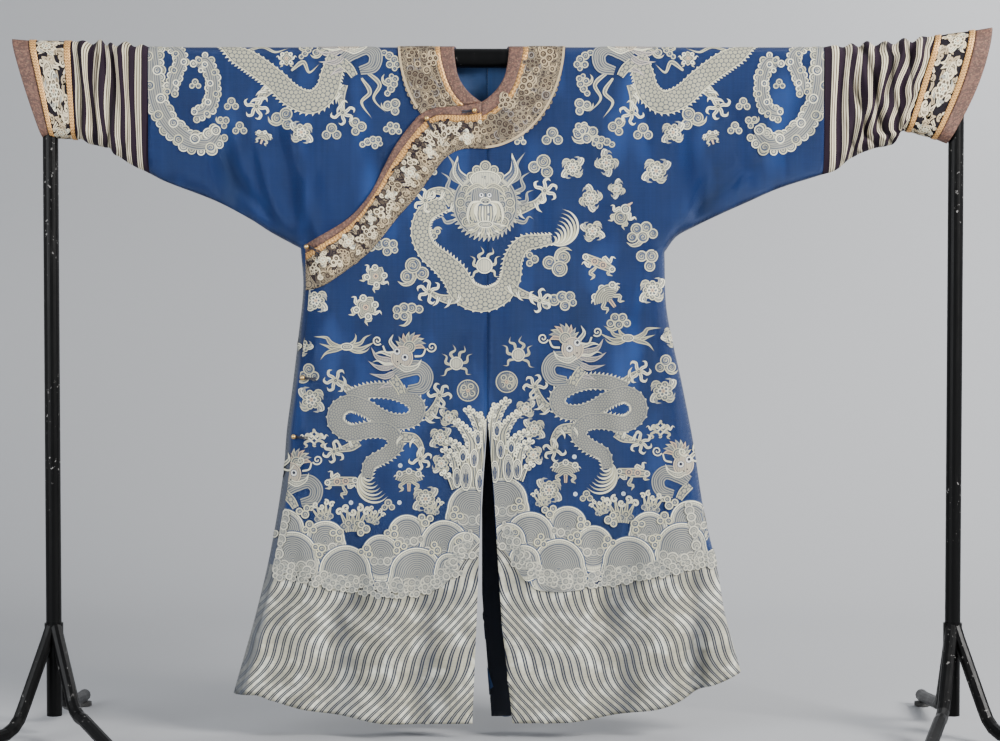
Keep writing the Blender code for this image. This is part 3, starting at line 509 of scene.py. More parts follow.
@contextmanager
def reshaping(made):
    """A piece's mesh, open for changes, and put back when they are done."""
    shape = bmesh.new()
    shape.from_mesh(made.data)
    yield shape
    shape.to_mesh(made.data)
    shape.free()


def weld(made):
    """Merges points that fall together and drops what has no area left."""
    with reshaping(made) as shape:
        bmesh.ops.remove_doubles(shape, verts=shape.verts, dist=2e-5)
        bmesh.ops.dissolve_degenerate(shape, edges=shape.edges, dist=2e-5)
        bmesh.ops.triangulate(shape, faces=[f for f in shape.faces if len(f.verts) > 4])


def walled(made, wall, offset, slots=0):
    """Gives a sheet its wall: offset -1 adds it inwards, 1 outwards."""
    thick = made.modifiers.new("wall", "SOLIDIFY")
    thick.thickness, thick.offset, thick.use_even_offset = wall, offset, True
    thick.use_quality_normals = True
    thick.material_offset = slots
    return made


def stands_for(made, solid):
    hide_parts(solid)
    return made


def cut_flat(name, outline, finishes, holes=(), spacing=0.009, lift=0.0, outer=False, lines=(), edge_step=0.006,
             attributes=None):
    """A piece of cloth: triangulated flat inside its outline, then hung in place."""
    outline = resample(np.vstack((outline, outline[:1])), edge_step)[:-1]
    loops = [outline] + [np.array(hole, float) for hole in holes]
    low, high = outline.min(0), outline.max(0)
    columns = [np.arange(low[0] + spacing * start, high[0], spacing) for start in (0.25, 0.75)]
    rows = np.arange(low[1] + spacing / 2, high[1], spacing * 0.87)
    lattice = np.concatenate([pair(columns[k % 2], np.full(len(columns[k % 2]), row)) for k, row in enumerate(rows)])

    def on_cloth(points):
        return inside(points, outline) & ~np.any([inside(points, hole) for hole in loops[1:]] or [False], axis=0)
    lattice = lattice[on_cloth(lattice)]
    rim = np.concatenate(loops)
    folded = distance_to_fold(lattice[:, 0], np.maximum(abs(lattice[:, 1]) - QUARTER + TOP_RADIUS, 0.0))
    lattice = lattice[(nearest(lattice, rim) > spacing * 0.55) & (folded > (0.026 if len(lines) else 0.0))]
    extra = np.concatenate([np.zeros((0, 2)), *lines])
    extra = extra[inside(extra, outline) & (nearest(extra, rim) > 0.001)]
    points = [Vector(p) for p in np.concatenate((rim, lattice, extra))]
    edges, start = [], 0
    for loop in loops:
        edges += [(start + k, start + (k + 1) % len(loop)) for k in range(len(loop))]
        start += len(loop)
    found = delaunay_2d_cdt(points, edges, [], 0, 1e-6)
    flat, faces = np.array(found[0], float), np.array(found[2])
    faces = faces[on_cloth(flat[faces].mean(1))]
    one, two, three = (flat[faces[:, k]] for k in range(3))
    turned = np.cross(two - one, three - one) > 0
    faces[turned] = faces[turned][:, [0, 2, 1]]
    places = lifted(flat[:, 0], flat[:, 1], np.full(len(flat), lift), outer)
    made = mesh_object(name, places, faces, finishes, flat, None, attributes(flat) if attributes else ())
    weld(made)
    return made


print("cutting tools ready, for walls of", SHEET_WALL, "m")

# %% [markdown]
# ## Silk
# The ground is a satin: fine weft threads lie side by side, so the surface has thin streaks one way
# and a soft shine. The weave is one shader group, used by every cloth here. It takes the flat
# coordinates in metres, so threads keep their size on every piece.


# %% The weave group
def weave_group():
    """Threads across the cloth: a height for the bump, and slow streaks and patches for the colour."""
    group = bpy.data.node_groups.new("silk_weave", "ShaderNodeTree")
    for label, kind in (("Flat", "Vector"), ("Thread", "Float"), ("Slub", "Float")):
        group.interface.new_socket(label, in_out="INPUT", socket_type="NodeSocket" + kind)
    for label in ("Height", "Streak", "Patch"):
        group.interface.new_socket(label, in_out="OUTPUT", socket_type="NodeSocketFloat")
    flat, pitch, rough = (Value(socket) for socket in group.nodes.new("NodeGroupInput").outputs[:3])
    turns = 2 * pi / pitch
    thread = ((flat.part(1) * turns).wave() + (flat.part(0) * turns).wave() * 0.35) * 0.5
    slub = flat.stretched((14.0, 420.0, 1.0)).noise(1, 3, 0.6)
    column = flat.stretched((160.0, 5.0, 1.0)).noise(1, 3)
    end = group.nodes.new("NodeGroupOutput")
    for socket, value in zip(end.inputs, (thread + slub * rough, slub * 0.5 + column * 0.5, flat.noise(9, 4, 0.55))):
        feed(socket, value)
    return group


WEAVE = weave_group()


def plain_cloth(name, dark, light, roughness, sheen):
    """A woven cloth of one colour that varies a little with its threads and with age."""
    cloth_finish = Finish(name, roughness, sheen_weight=sheen)
    height, streak, patch = cloth_finish.weave()
    return cloth_finish.done((streak * 1.2 + (patch * 0.9 - 0.55)).held().blend(dark, light), height)


LINING = plain_cloth("blue_lining", (0.006, 0.036, 0.13), (0.018, 0.075, 0.22), 0.5, 0.15)
FACING = plain_cloth("navy_facing", (0.0015, 0.003, 0.008), (0.005, 0.009, 0.022), 0.8, 0.1)
print("weave group and", len(bpy.data.materials), "materials")

# %% [markdown]
# ## Standing water
# The lowest part of the robe is woven with standing water: cream bands between pairs of dark lines,
# which swing from side to side on their way down to the hem. A stripe is a contour of one smooth
# number, so each point of the cloth carries that number, and how far it is below the top of the
# water. The shader turns both into crisp lines, however wide the mesh's triangles are.

# %% The numbers that the water stripes are drawn from
WATER_PITCH = 0.0172
WATER_TOP = metres((0, 1000), (40, 1040), (75, 1092), (110, 1118), (240, 1112), (340, 1092), (430, 1075),
                   (560, 1060))


def water_numbers(flat):
    """Phase of the stripes, depth below the water's top, and painted shade for the folds' hollows and the wearer's
    right side, for flat points.
    """
    side, drop = abs(flat[:, 0]), abs(flat[:, 1]) - QUARTER + TOP_RADIUS
    lag = 0.03 * np.sin(side / 0.11) + 0.02 * side
    swing = 0.61 * drop - 0.0107 * np.cos((drop - lag - 0.975) * 2 * pi / 0.16)
    phase = (swing - side * (1 - 0.05 * (drop - 1.0))) / WATER_PITCH
    face = np.where(flat[:, 1] >= 0, FRONT, BACK)
    # painted shade: the deeper a point lies in a fold's hollow, the darker its colour
    hollow = np.clip(-push_of_folds(flat[:, 0], drop, face) / 0.016, 0, 1) * 0.62
    # painted shade strip: a band along the side fold on the wearer's right, on the front only, widening towards the hem
    aside = abs(curve_at(SIDE[RIGHT], drop)) + flat[:, 0]
    strip = smooth((0.008 + 0.018 * smooth((drop - 0.5) / 0.8) - aside) / 0.003) * smooth((drop - 0.44) / 0.02)
    return (("water_phase", phase + 40.0), ("water_depth", drop - curve_at(WATER_TOP, side)),
            ("hollow", hollow), ("strip", strip * (face == FRONT)))


def robe_silk():
    """Blue satin, with the water stripes where the cloth's own numbers ask for them, and with painted sheen, glints and
    shade in its colour.
    """
    silk = Finish("robe_silk", 0.33, specular_ior_level=0.5, specular_tint=(0.46, 0.6, 1.0, 1.0), coat_roughness=0.34)
    height, streak, patch = silk.weave(0.0006, 0.6)
    share = (streak * 1.5 + (patch * 1.2 - 0.85)).held()
    slow = silk.flat().stretched((9.0, 3.4, 1.0), 0.42).noise(1, 2)
    # painted sheen: bands where the blue silk and the cream of the water are lighter
    sheen_band = (slow * 4.0 - 2.1).held() * 0.8
    blue = sheen_band.blend(share.blend((0.003, 0.0098, 0.05), (0.0072, 0.026, 0.105)), (0.024, 0.074, 0.27))
    cream = sheen_band.blend(share.blend((0.33, 0.305, 0.205), (0.76, 0.725, 0.55)), (1.0, 0.98, 0.82))
    # painted glints and painted shade on the water: by noise, some of the cream turns near white and some darker
    sheen_patch = silk.flat().noise(22, 3)
    cream = ((2.5 - sheen_patch * 5.0).held() * 0.65).blend(cream, (0.3, 0.29, 0.21))
    cream = ((sheen_patch * 6.0 - 3.1).held() * 0.9).blend(cream, (1.0, 1.0, 0.86))
    turn, wet = silk.number("water_phase").turn(), (silk.number("water_depth") * 900.0).held()
    first, second = ((1 - (turn - middle).size() * 9.0).held() for middle in (0.6, 0.88))
    lines = (first.larger(second) * 2.2).held()
    between = turn.reckon("COMPARE", turn, 0.74, 0.14)
    water = lines.blend((between * 0.45).blend(cream, (0.2, 0.2, 0.2)), (0.006, 0.008, 0.02))
    shade = wet.blend(blue, water)
    # painted shade: darker in the folds' hollows, and a grey painted shade strip on the front along the wearer's right
    # side
    shade = silk.number("hollow").blend(shade, (0.006, 0.009, 0.016))
    shade = (silk.number("strip") * 0.82).blend(shade, (0.1, 0.108, 0.118))
    pucker = silk.flat().noise(42, 3) * (wet * 3.2 + 1.2) + slow * 5.0
    return silk.done(shade, height + pucker + (1 - lines) * wet * 0.8, 0.0003, 0.8, coat_weight=wet * 0.35)


ROBE_SILK = robe_silk()
print(ROBE_SILK.name, "is worked out by", len(ROBE_SILK.node_tree.nodes), "nodes")

# %% [markdown]
# ## The panels
# Each half of the robe is one length of cloth with no seam at the shoulder. The half on the
# wearer's left carries the outer front down to the centre seam. The half on the wearer's right has
# a shorter front that hides under the lap, and the lap itself is a panel of its own.


# %% Outlines
def side_corner(side):
    """Where the side fold meets the hem."""
    drop = 1.3
    for _ in range(20):
        reach = float(curve_at(SIDE[side], drop))
        drop = float(curve_at(HEM, reach))
    return reach, drop


def centre_line(face, side, drops, away=0.0):
    return pair(line_at(CENTRE_EDGE[face, side], drops) + away, drops)


def side_line(side, drops, away=0.0):
    return pair(curve_at(SIDE[side], drops) + away, drops)


def lower_line(rows, first, last, count):
    """A line along the hem or under the arm between two places of reach."""
    reach = np.linspace(first, last, count)
    return pair(reach, curve_at(rows, reach))


def half_line(face, side, last_drop=None):
    """One half's edge on one face, from the centre of the shoulder round to the sleeve's end."""
    hold = side * SEAM / 2
    corner = side_corner(side)
    arm_reach, arm_drop = ARMPIT[side]
    centre = centre_line(face, side, np.arange(0.0, HEM_DROP, 0.01), hold)
    hem = lower_line(HEM, line_at(CENTRE_EDGE[face, side], HEM_DROP) + hold, corner[0], 60)
    if last_drop:
        centre = centre[centre[:, 1] < last_drop]
        corner = curve_at(SIDE[side], last_drop), last_drop
        hem = np.array([(centre[-1][0], last_drop), corner])
    beside = side_line(side, np.linspace(corner[1], arm_drop, int((corner[1] - arm_drop) / 0.008)))
    under = lower_line(UNDERARM[side], arm_reach, SLEEVE_END[side], 44)
    line = np.concatenate((centre, hem[1:], beside[1:], under[1:], [(SLEEVE_END[side], 0.0)]))
    line[:, 1] = np.where(line[:, 1] > TOP_RADIUS, run_of(line[:, 1]),
                          TOP_RADIUS * np.arccos(np.clip(1 - line[:, 1] / TOP_RADIUS, -1, 1)))
    line[:, 1] *= -face
    return line


def fold_lines(side):
    """Rows of points close beside the folds, so that the mesh turns round them smoothly."""
    out = []
    for face in (FRONT, BACK):
        for away in (0.0012, 0.0035, 0.0075, 0.0135, 0.0215):
            arm = np.arange(abs(ARMPIT[side][0]) - away * 0.5, abs(SLEEVE_END[side]) - 0.003, 0.008) * side
            for row in (side_line(side, np.arange(ARMPIT[side][1] + away, 1.33, 0.009), -side * away),
                        pair(arm, curve_at(UNDERARM[side], arm) - away)):
                out.append(pair(row[:, 0], -face * run_of(row[:, 1])))
    return out


def shoulder_lines(side):
    """Rows of points over the bar, where the cloth turns most."""
    reach = np.arange(0.01, 0.69, 0.009) * side
    return [pair(reach + 0.0045 * (k % 2), np.full(len(reach), k * 0.0048)) for k in range(-8, 9)]


def neck_ring(out=0.0, angles=np.arange(0, 360, 6)):
    """The neck opening in the flat cloth, or a line some way out from it."""
    turn = (np.asarray(angles) + 180) % 360 - 180
    away = curve_at(NECK, abs(turn)) + out
    return pair(NECK_CENTRE + away * np.sin(np.radians(turn)), away * np.cos(np.radians(turn)))


NECK_CENTRE, HEM_DROP = -0.012, 1.401
NECK = ((0, 0.128), (12, 0.113), (28, 0.094), (48, 0.072), (70, 0.06), (95, 0.0545), (120, 0.05),
        (145, 0.038), (180, 0.022))
UNDERLAP_DROP = 1.345
LAP_EDGE = metres((-12, 115), (-39, 121), (-77, 125), (-106, 127), (-130, 136), (-156, 160), (-188, 203),
                  (-213, 248), (-242, 305), (-282, 351), (-333, 385), (-392, 418))
print("outlines ready; the skirt's corners are at", side_corner(LEFT), side_corner(RIGHT))


# %% The two halves
def area_of(outline):
    x, y = outline[:, 0], outline[:, 1]
    return float(abs((x * np.roll(y, -1) - y * np.roll(x, -1)).sum()) / 2)


def half(side, word):
    last = UNDERLAP_DROP if side == RIGHT else None
    outline = np.concatenate((half_line(FRONT, side, last)[:-1], half_line(BACK, side)[::-1]))[:-1]
    lines = fold_lines(side) + shoulder_lines(side)
    made = stands_for(cut_flat("silk_" + word, outline, [ROBE_SILK, LINING], [neck_ring()], lines=lines,
                               outer=side == LEFT, attributes=water_numbers), word)
    area = area_of(outline) - area_of(neck_ring()) / 2
    print(word, "cut area", round(area, 3), "m2,", len(made.data.polygons), "triangles")
    return walled(made, SHEET_WALL, -1, 1), area


BODY_LEFT, AREA_LEFT = half(LEFT, "body_left")
BODY_RIGHT, AREA_RIGHT = half(RIGHT, "body_right")


# %% The lap
def overlap():
    """The outer front that laps to the wearer's right."""
    edge = along(LAP_EDGE, share=np.linspace(0, 1, 40))
    edge = edge[edge[:, 0] > -0.3735]
    edge = np.concatenate((edge, [(-0.374, curve_at(LAP_EDGE[::-1], -0.374))]))
    drops = np.linspace(ARMPIT[RIGHT][1], side_corner(RIGHT)[1] + 0.004, 110)
    beside = side_line(RIGHT, drops, LAP_INSET)
    hem = lower_line(HEM, beside[-1, 0], line_at(CENTRE_EDGE[FRONT, RIGHT], HEM_DROP), 60)
    centre = centre_line(FRONT, RIGHT, np.arange(1.396, 0.116, -0.01), -SEAM / 2)
    outline = np.concatenate((edge, beside[:-1], hem, centre))
    outline[:, 1] = run_of(outline[:, 1])
    lines = [side_line(RIGHT, drops, away) + (0, QUARTER - TOP_RADIUS) for away in (0.018, 0.023)]
    made = stands_for(cut_flat("silk_overlap", outline, [ROBE_SILK, LINING], lines=lines, outer=True,
                               attributes=water_numbers), "overlap")
    print("overlap cut area", round(area_of(outline), 3), "m2,", len(made.data.polygons), "triangles")
    return walled(made, SHEET_WALL, -1, 1), area_of(outline)


OVERLAP, AREA_OVERLAP = overlap()

# %% [markdown]
# ## Embroidery
# The motifs of such a robe are traditional: dragons, clouds, flowers, emblems, and waves that break
# against rocks. Each is laid down in strokes, as an embroiderer does: a ribbon follows a line and
# swells and tapers, and a lobe fills an outline round its middle. A stroke is a thin sheet of
# triangles in the flat plane, which the form of the cloth then carries, so it bends and folds with
# the panel. Every stroke also carries its distance from its own rim, and from that number the
# shaders draw outlines, rings and scales.

# %% Strokes
SATIN, SCALES, RINGS, DARK = range(4)
CREAM, PALE, GREY, WARM, SLATE = ((0.62, 0.58, 0.375), (0.94, 0.9, 0.66), (0.335, 0.335, 0.295),
                                  (0.7, 0.47, 0.28), (0.045, 0.07, 0.14))
INK = (0.01, 0.014, 0.04)
FIRST_LIFT, LAYER_LIFT = 0.00045, 0.000025
strokes = []
layer = [0]


def at_home(points):
    """Millimetres of reach and drop, as metres of the flat cloth."""
    return np.asarray(points, float) * 0.001


def placed(reach, drop, size=1.0, turn=0.0, flip=1, home=at_home):
    """Puts a motif drawn round its own middle at a place, in millimetres; flip -1 mirrors it."""
    c, s = cos(radians(turn)), sin(radians(turn))

    def at(points):
        points = np.asarray(points, float) * (flip * size, size)
        return home(points @ np.array([[c, s], [-s, c]]) + (reach, drop))
    return at


def lay(points, faces, rim, uv, tone, kind, climb=0.0):
    """Adds one stroke, a little above the last one; climb raises it further along its own length."""
    lift = FIRST_LIFT + LAYER_LIFT * layer[0] + climb * np.ones(len(points))
    strokes.append((points, faces, rim, uv, tone, kind, lift))
    layer[0] += 1


def spline(line, step):
    """Evenly spaced points on a smooth curve through the corners of a line."""
    line = np.reshape(line, (-1, 2)).astype(float)
    if len(line) == 2:
        line = np.array([line[0], line.mean(0), line[1]])
    length = lengths_along(line)[-1]
    return along(line, np.linspace(0, length, max(int(length / step), 4) + 1))


def scale_of(at):
    return np.linalg.norm(at([(1.0, 0.0)]) - at([(0.0, 0.0)]))


def ribbon(at, line, widths, tone=CREAM, kind=SATIN, step=2.6, cross=2, climb=0.0):
    """A stroke along a line, with half widths given at even steps along it."""
    middle = at(spline(line, step))
    t = np.linspace(0, 1, len(middle))
    half = np.interp(t, np.linspace(0, 1, len(widths)), widths) * scale_of(at)
    s = np.linspace(-1, 1, cross + 1)
    points = middle[:, None] + ways_of(middle, 1e-9)[1][:, None] * (half[:, None] * s)[..., None]
    uv = pair(np.repeat(lengths_along(middle), cross + 1), (half[:, None] * s).ravel())
    rim = (half[:, None] * (1 - abs(s))).ravel()
    n, w = len(middle), cross + 1
    a = (np.arange(n - 1)[:, None] * w + np.arange(cross)).ravel()
    faces = np.concatenate((np.stack((a, a + 1, a + w + 1), -1), np.stack((a, a + w + 1, a + w), -1)))
    lay(points.reshape(-1, 2), faces, rim, uv, tone, kind, climb * np.repeat(t, w))


def lobe(at, centre, radii, tone=CREAM, kind=RINGS, first=0.0, last=360.0, rings=3, count=0, hole=0.0):
    """A filled shape round a middle, or only its outer part if it has a hole.
    radii: one radius, two for an oval, or a function of the angle."""
    turn = last - first
    size = radii if np.isscalar(radii) else (max(radii) if isinstance(radii, tuple) else 12)
    n = count or max(int(size * 0.9 * turn / 360) + 7, 8)
    a = np.radians(first + turn * np.arange(n + (turn < 360)) / n)
    if callable(radii):
        reach = radii(a)
    elif isinstance(radii, tuple):
        reach = radii[0] * radii[1] / np.hypot(radii[1] * np.cos(a), radii[0] * np.sin(a))
    else:
        reach = np.full(len(a), float(radii))
    share = np.linspace(hole, 1, rings + 1)[0 if hole else 1:]
    local = pair(np.cos(a), np.sin(a))[None] * reach[None, :, None] * share[:, None, None] + centre
    points = at(np.concatenate(([centre], local.reshape(-1, 2))))
    rim = np.concatenate(([reach.mean()], (reach[None] * (1 - share[:, None])).ravel())) * scale_of(at)
    m = len(a)
    k = np.arange(m if turn >= 360 else m - 1)
    j = (k + 1) % m
    faces = [np.stack((np.zeros_like(k), 1 + k, 1 + j), -1)] if not hole else []
    for r in range(len(share) - 1):
        low, high = 1 + r * m, 1 + (r + 1) * m
        faces += [np.stack((low + k, high + k, high + j), -1), np.stack((low + k, high + j, low + j), -1)]
    lay(points, np.concatenate(faces), rim, points - points[0], tone, kind)


def disc(at, x, y, r, tone=CREAM, kind=RINGS, rings=2):
    lobe(at, (x, y), r, tone, kind, rings=rings)


def spiral(at, x, y, r, turns=1.4, start=0.0, hand=1, width=0.7, tone=CREAM, kind=SATIN):
    """A line that winds in towards a middle."""
    a = np.linspace(0, turns * 2 * pi, int(9 * turns) + 3)
    away = r * (1 - 0.86 * a / a[-1])
    line = pair(x + away * np.cos(start + hand * a), y + away * np.sin(start + hand * a))
    ribbon(at, line, (width, width, width * 0.8), tone, kind, step=max(r * 0.28, 1.2))


print("strokes ready")

# %% [markdown]
# ### Clouds, flowers and emblems
# Small motifs fill the ground between the dragons. A cloud is a few round lobes, each with a spiral
# in it, and a tail. Drawing it once as a function and placing it many times, turned, mirrored and
# sized, gives the even scatter of the real cloth without any two looking quite the same.


# %% Small motifs
TREFOIL = ((-9, 4, 8.0), (9, 4, 8.0), (0, -7, 9.5))
PUFF = ((-13, 3, 6.5), (-6, -6, 7.5), (6, -6, 7.5), (13, 3, 6.5), (0, 5, 7.5))
BANK = ((-15, 9, 6.0), (-8, 1, 7.5), (0, -6, 7.5), (9, -10, 6.5), (7, 3, 6.5), (15, -4, 5.0))


def hand(k):
    """Left and right by turns."""
    return 1 if k % 2 else -1


def round_by(r, a, x=0.0, y=0.0):
    """A point at an angle round a middle."""
    return x + r * cos(a), y + r * sin(a)


def cloud(at, lobes=TREFOIL, tail=1, tone=CREAM, curl=SLATE):
    if tail:
        ribbon(at, (0, 4, 6, 12, 15, 13, 21, 8), (4, 3.4, 2.2, 0.2), tone)
    for k, (x, y, r) in enumerate(lobes):
        disc(at, x, y, r, tone)
        spiral(at, x, y, r * 0.6, 1.3, k * 2.1, hand(k), 0.75, curl, DARK)


def flower(at, petals=7, r=12.0, leaves=(20, 110, 200, 300), tone=CREAM):
    """A blossom with two rings of petals, and curled leaves round it."""
    for k, turn in enumerate(leaves):
        a = radians(turn)
        line = [round_by(out * r, a + bend)
                for out, bend in ((0.5, 0.0), (1.25, 0.1), (1.8 - 0.3 * (k % 2), 0.35), (1.6, 0.75))]
        ribbon(at, line, (1.6, 3.4, 2.8, 0.2), (PALE, tone)[k % 2])
        ribbon(at, [(x * 0.86 - y * 0.3, y * 0.86 + x * 0.3) for x, y in line], (1.2, 2.6, 2.0, 0.2), GREY)
    for ring, away, size, shade in ((petals, 0.78, 0.44, tone), (petals - 2, 0.4, 0.32, PALE)):
        for k in range(ring):
            disc(at, *round_by(away * r, 2 * pi * k / ring), size * r, shade)
    disc(at, 0, 0, 0.24 * r, WARM)


def fluttering(at, out=9.0):
    """The ribbons tied to an emblem."""
    for flip in (1, -1):
        ribbon(at, (flip * 4, 0, flip * out, -6, flip * (out + 5), 2, flip * (out + 10), -5, flip * (out + 14), -2),
               (1.6, 2.6, 2.5, 2.0, 0.3), PALE)
        ribbon(at, (flip * 4, 4, flip * (out - 1), 7, flip * (out + 5), 11, flip * out, 16, flip * (out + 6), 20),
               (1.6, 2.5, 2.4, 2.0, 0.3), CREAM)


def emblem(at, kind=0):
    """A treasure tied with ribbons: a gourd, a flute, a fan or a lozenge."""
    fluttering(at)
    if kind == 0:
        disc(at, 0, 6, 11.5, CREAM)
        spiral(at, 0, 6, 6.0, 1.3, 0.5, 1, 1.0, SLATE, DARK)
        disc(at, 0, -9, 8, PALE)
        ribbon(at, (0, -15, 4, -23), (2.4, 1.0), WARM)
    elif kind == 1:
        ribbon(at, (-17, 12, 0, 0, 17, -12), (4.6, 6.6, 4.6), CREAM, RINGS, cross=4)
        for x in (-16, -5, 5, 16):
            disc(at, x, -x * 0.7, 5.4 - abs(x) * 0.06, PALE if abs(x) > 9 else WARM)
    elif kind == 2:
        lobe(at, (0, 9), 22.0, CREAM, RINGS, 200, 340)
        for x in (-14, 0, 14):
            disc(at, x, -11 + abs(x) * 0.3, 5.0, PALE)
        ribbon(at, (0, 8, 0, 19), (2.8, 2.2), WARM)
    else:
        lobe(at, (0, 0), lambda a: 15.0 / (abs(np.cos(a)) + 0.8 * abs(np.sin(a))), CREAM, RINGS)
        for x, y in ((-9, -9), (9, -9), (-9, 9), (9, 9)):
            disc(at, x, y, 5.0, PALE)
        disc(at, 0, 0, 4.0, WARM)


def endless_knot(at):
    """A knot of one band, woven through itself on the slant."""
    fluttering(at, out=13.0)
    for k in (-6, 0, 6):
        ribbon(at, (k - 8, k + 8, k, k, k + 8, k - 8), (1.7, 1.7), CREAM)
        ribbon(at, (-k - 8, k - 8, -k, k, -k + 8, k + 8), (1.7, 1.7), PALE)
    for x, y in ((11, 5), (-11, 5), (11, -5), (-11, -5), (0, 14), (0, -14)):
        spiral(at, x, y, 3.4, 0.9, 0.6, 1, 1.3)


def flames(at, rows, tone=CREAM):
    """Tongues of flame: each row is its greatest half width and its line."""
    for width, *line in rows:
        ribbon(at, line, (width * 0.5, width, width * 0.8, width * 0.4, 0.1), tone)


def pearl(at, r=13.0):
    """A pearl wrapped in flames."""
    flames(at, ((3.2, -10, 4, -22, -2, -20, -14, -30, -20), (3.2, -4, -8, -12, -20, -2, -28, -8, -40),
                (3.2, 6, -8, 8, -22, 18, -26, 16, -38), (3.2, 10, 0, 22, -4, 24, -16, 34, -20),
                (2.8, -8, 10, -20, 14, -24, 24, -34, 26), (2.8, 8, 10, 20, 12, 22, 22, 32, 22)))
    disc(at, 0, 0, r, PALE, SATIN, 3)


def roundel(at, r=23.0):
    """A round medallion with a ring of lobes in it."""
    disc(at, 0, 0, r, CREAM, SATIN, 3)
    disc(at, 0, 0, r - 2.2, SLATE, DARK)
    for k in range(4):
        a = pi / 2 * k + 0.6
        disc(at, *round_by(10.5, a), 6.8)
        spiral(at, *round_by(10.5, a), 3.6, 1.1, a, 1, 0.5, SLATE, DARK)
    disc(at, 0, 0, 4.0, WARM)


def bat(at):
    """A long-winged flying wisp, between a bat and a flame."""
    flames(at, ((5, 0, 0, -14, 2, -28, -6, -34, -14, -58, -16), (4, -6, 2, -24, 4, -36, 0, -48, -4),
                (4.4, -4, 4, -20, 8, -36, 14, -46, 26), (3.4, 4, 0, 14, -6, 18, -16, 16, -22),
                (3.8, 8, 0, 26, -4, 34, -14, 46, -20), (4.2, 6, 4, 26, 6, 40, 0, 54, -8),
                (3.2, 4, 6, 22, 12, 36, 10, 44, 2)))
    lobe(at, (2, 2), (12, 7), PALE, RINGS)


def claw(at, leg):
    """Five hooked claws spread round a palm, with the leg that they are on."""
    ribbon(at, leg, (10.45, 9.35, 6.05, 4.4), CREAM, SCALES, cross=4)
    for x, y in np.reshape(leg, (-1, 2))[:-1]:
        ribbon(at, (x, y, x + 4, y + 11, x + 12, y + 17), (3.4, 2.4, 0.1), PALE)
    for turn in (-150, -85, -30, 25, 95):
        c, s = cos(radians(turn)), sin(radians(turn))
        hook = (0, 0), (9, 0.5), (17, -2), (22, 4), (18, 10)
        ribbon(at, [(x * c - y * s, x * s + y * c) for x, y in hook], (2.6, 3.2, 2.8, 2.4, 0.1), PALE)
    disc(at, 0, 0, 5.6)


def scatter(put, rows):
    """Small motifs at (reach, drop, size, turn, kind), mirrored by turns. Kinds: three clouds, a flower, emblems."""
    for k, (x, y, size, turn, kind) in enumerate(rows):
        at = put(x, y, size * (1.85 if kind < 3 else 1.3 if kind == 3 else 1.55), turn, -hand(k))
        if kind < 3:
            cloud(at, (TREFOIL, PUFF, BANK)[kind], k % 2)
        elif kind == 3:
            flower(at, 7 + k % 2)
        else:
            emblem(at, kind - 4)


print("small motifs ready")

# %% [markdown]
# ### Dragons
# A dragon's body is one long stroke with scales, wider in the middle, with a row of spines along its
# back. The great dragon of the chest faces the viewer; those of the skirt are seen from the side.
# The same few strokes serve both: a mane of flame-like locks, eyes, whiskers that end in spirals,
# horns, and a tail that opens into a fan.


# %% Bodies, manes and tails
def spines(at, line, halves, side, pitch=7.5, length=5.0):
    """A comb of spines along one edge of a body."""
    middle = spline(line, pitch)
    ahead, aside = ways_of(middle)
    half = np.interp(np.linspace(0, 1, len(middle)), np.linspace(0, 1, len(halves)), halves)
    root = middle + side * aside * (half[:, None] - 1.5)
    tip = root + side * aside * (length + 1.5) - ahead * length * 0.7
    a, b = root - ahead * pitch * 0.42, root + ahead * pitch * 0.42
    points = at(np.stack((a, b, tip), 1).reshape(-1, 2))
    k = np.arange(len(middle)) * 3
    rim = np.tile((0.002, 0.002, 0.0006), len(middle))
    lay(points, np.stack((k, k + 1, k + 2), -1), rim, points, PALE, SATIN)


def body(at, line, halves, side=1, tone=CREAM, fine=1.0):
    """A scaly body; fine makes its scales smaller."""
    spines(at, line, halves, side)
    spines(at, line, halves, -side, 11.0, 2.4)
    ribbon(at, line, halves, tone, SCALES, step=4.0, cross=6, climb=0.0006)
    points, faces, rim, uv, *rest = strokes[-1]
    strokes[-1] = (points, faces, rim, uv * fine, *rest)


def tail(at, x, y, turn, size):
    """A fan of crescents: arcs of circles that all start at the tail's root."""
    start, swing = radians(turn), np.linspace(0.0, -3.5, 8)
    for k in range(8):
        r = size * (4.0 + 15.0 * k / 7)
        line = pair(x + r * (cos(start) - np.cos(start + swing)), y + r * (sin(start) - np.sin(start + swing)))
        ribbon(at, line, size * np.array((0.7, 0.7, 1.2, 1.2, 0.1 / size)), PALE if k % 2 else CREAM)


def eye(at, x, y, r=6.0):
    disc(at, x, y, r + 1.0, SLATE, DARK)
    disc(at, x, y, r, (0.9, 0.89, 0.84), DARK)
    disc(at, x, y - 0.1 * r, r * 0.5, INK, DARK)


def whisker(at, line, end, r, hand):
    ribbon(at, line, (2.0, 1.8, 1.6), PALE)
    spiral(at, *end, r, 1.5, atan2(line[-1] - end[1], line[-2] - end[0]), hand, 1.5, PALE)


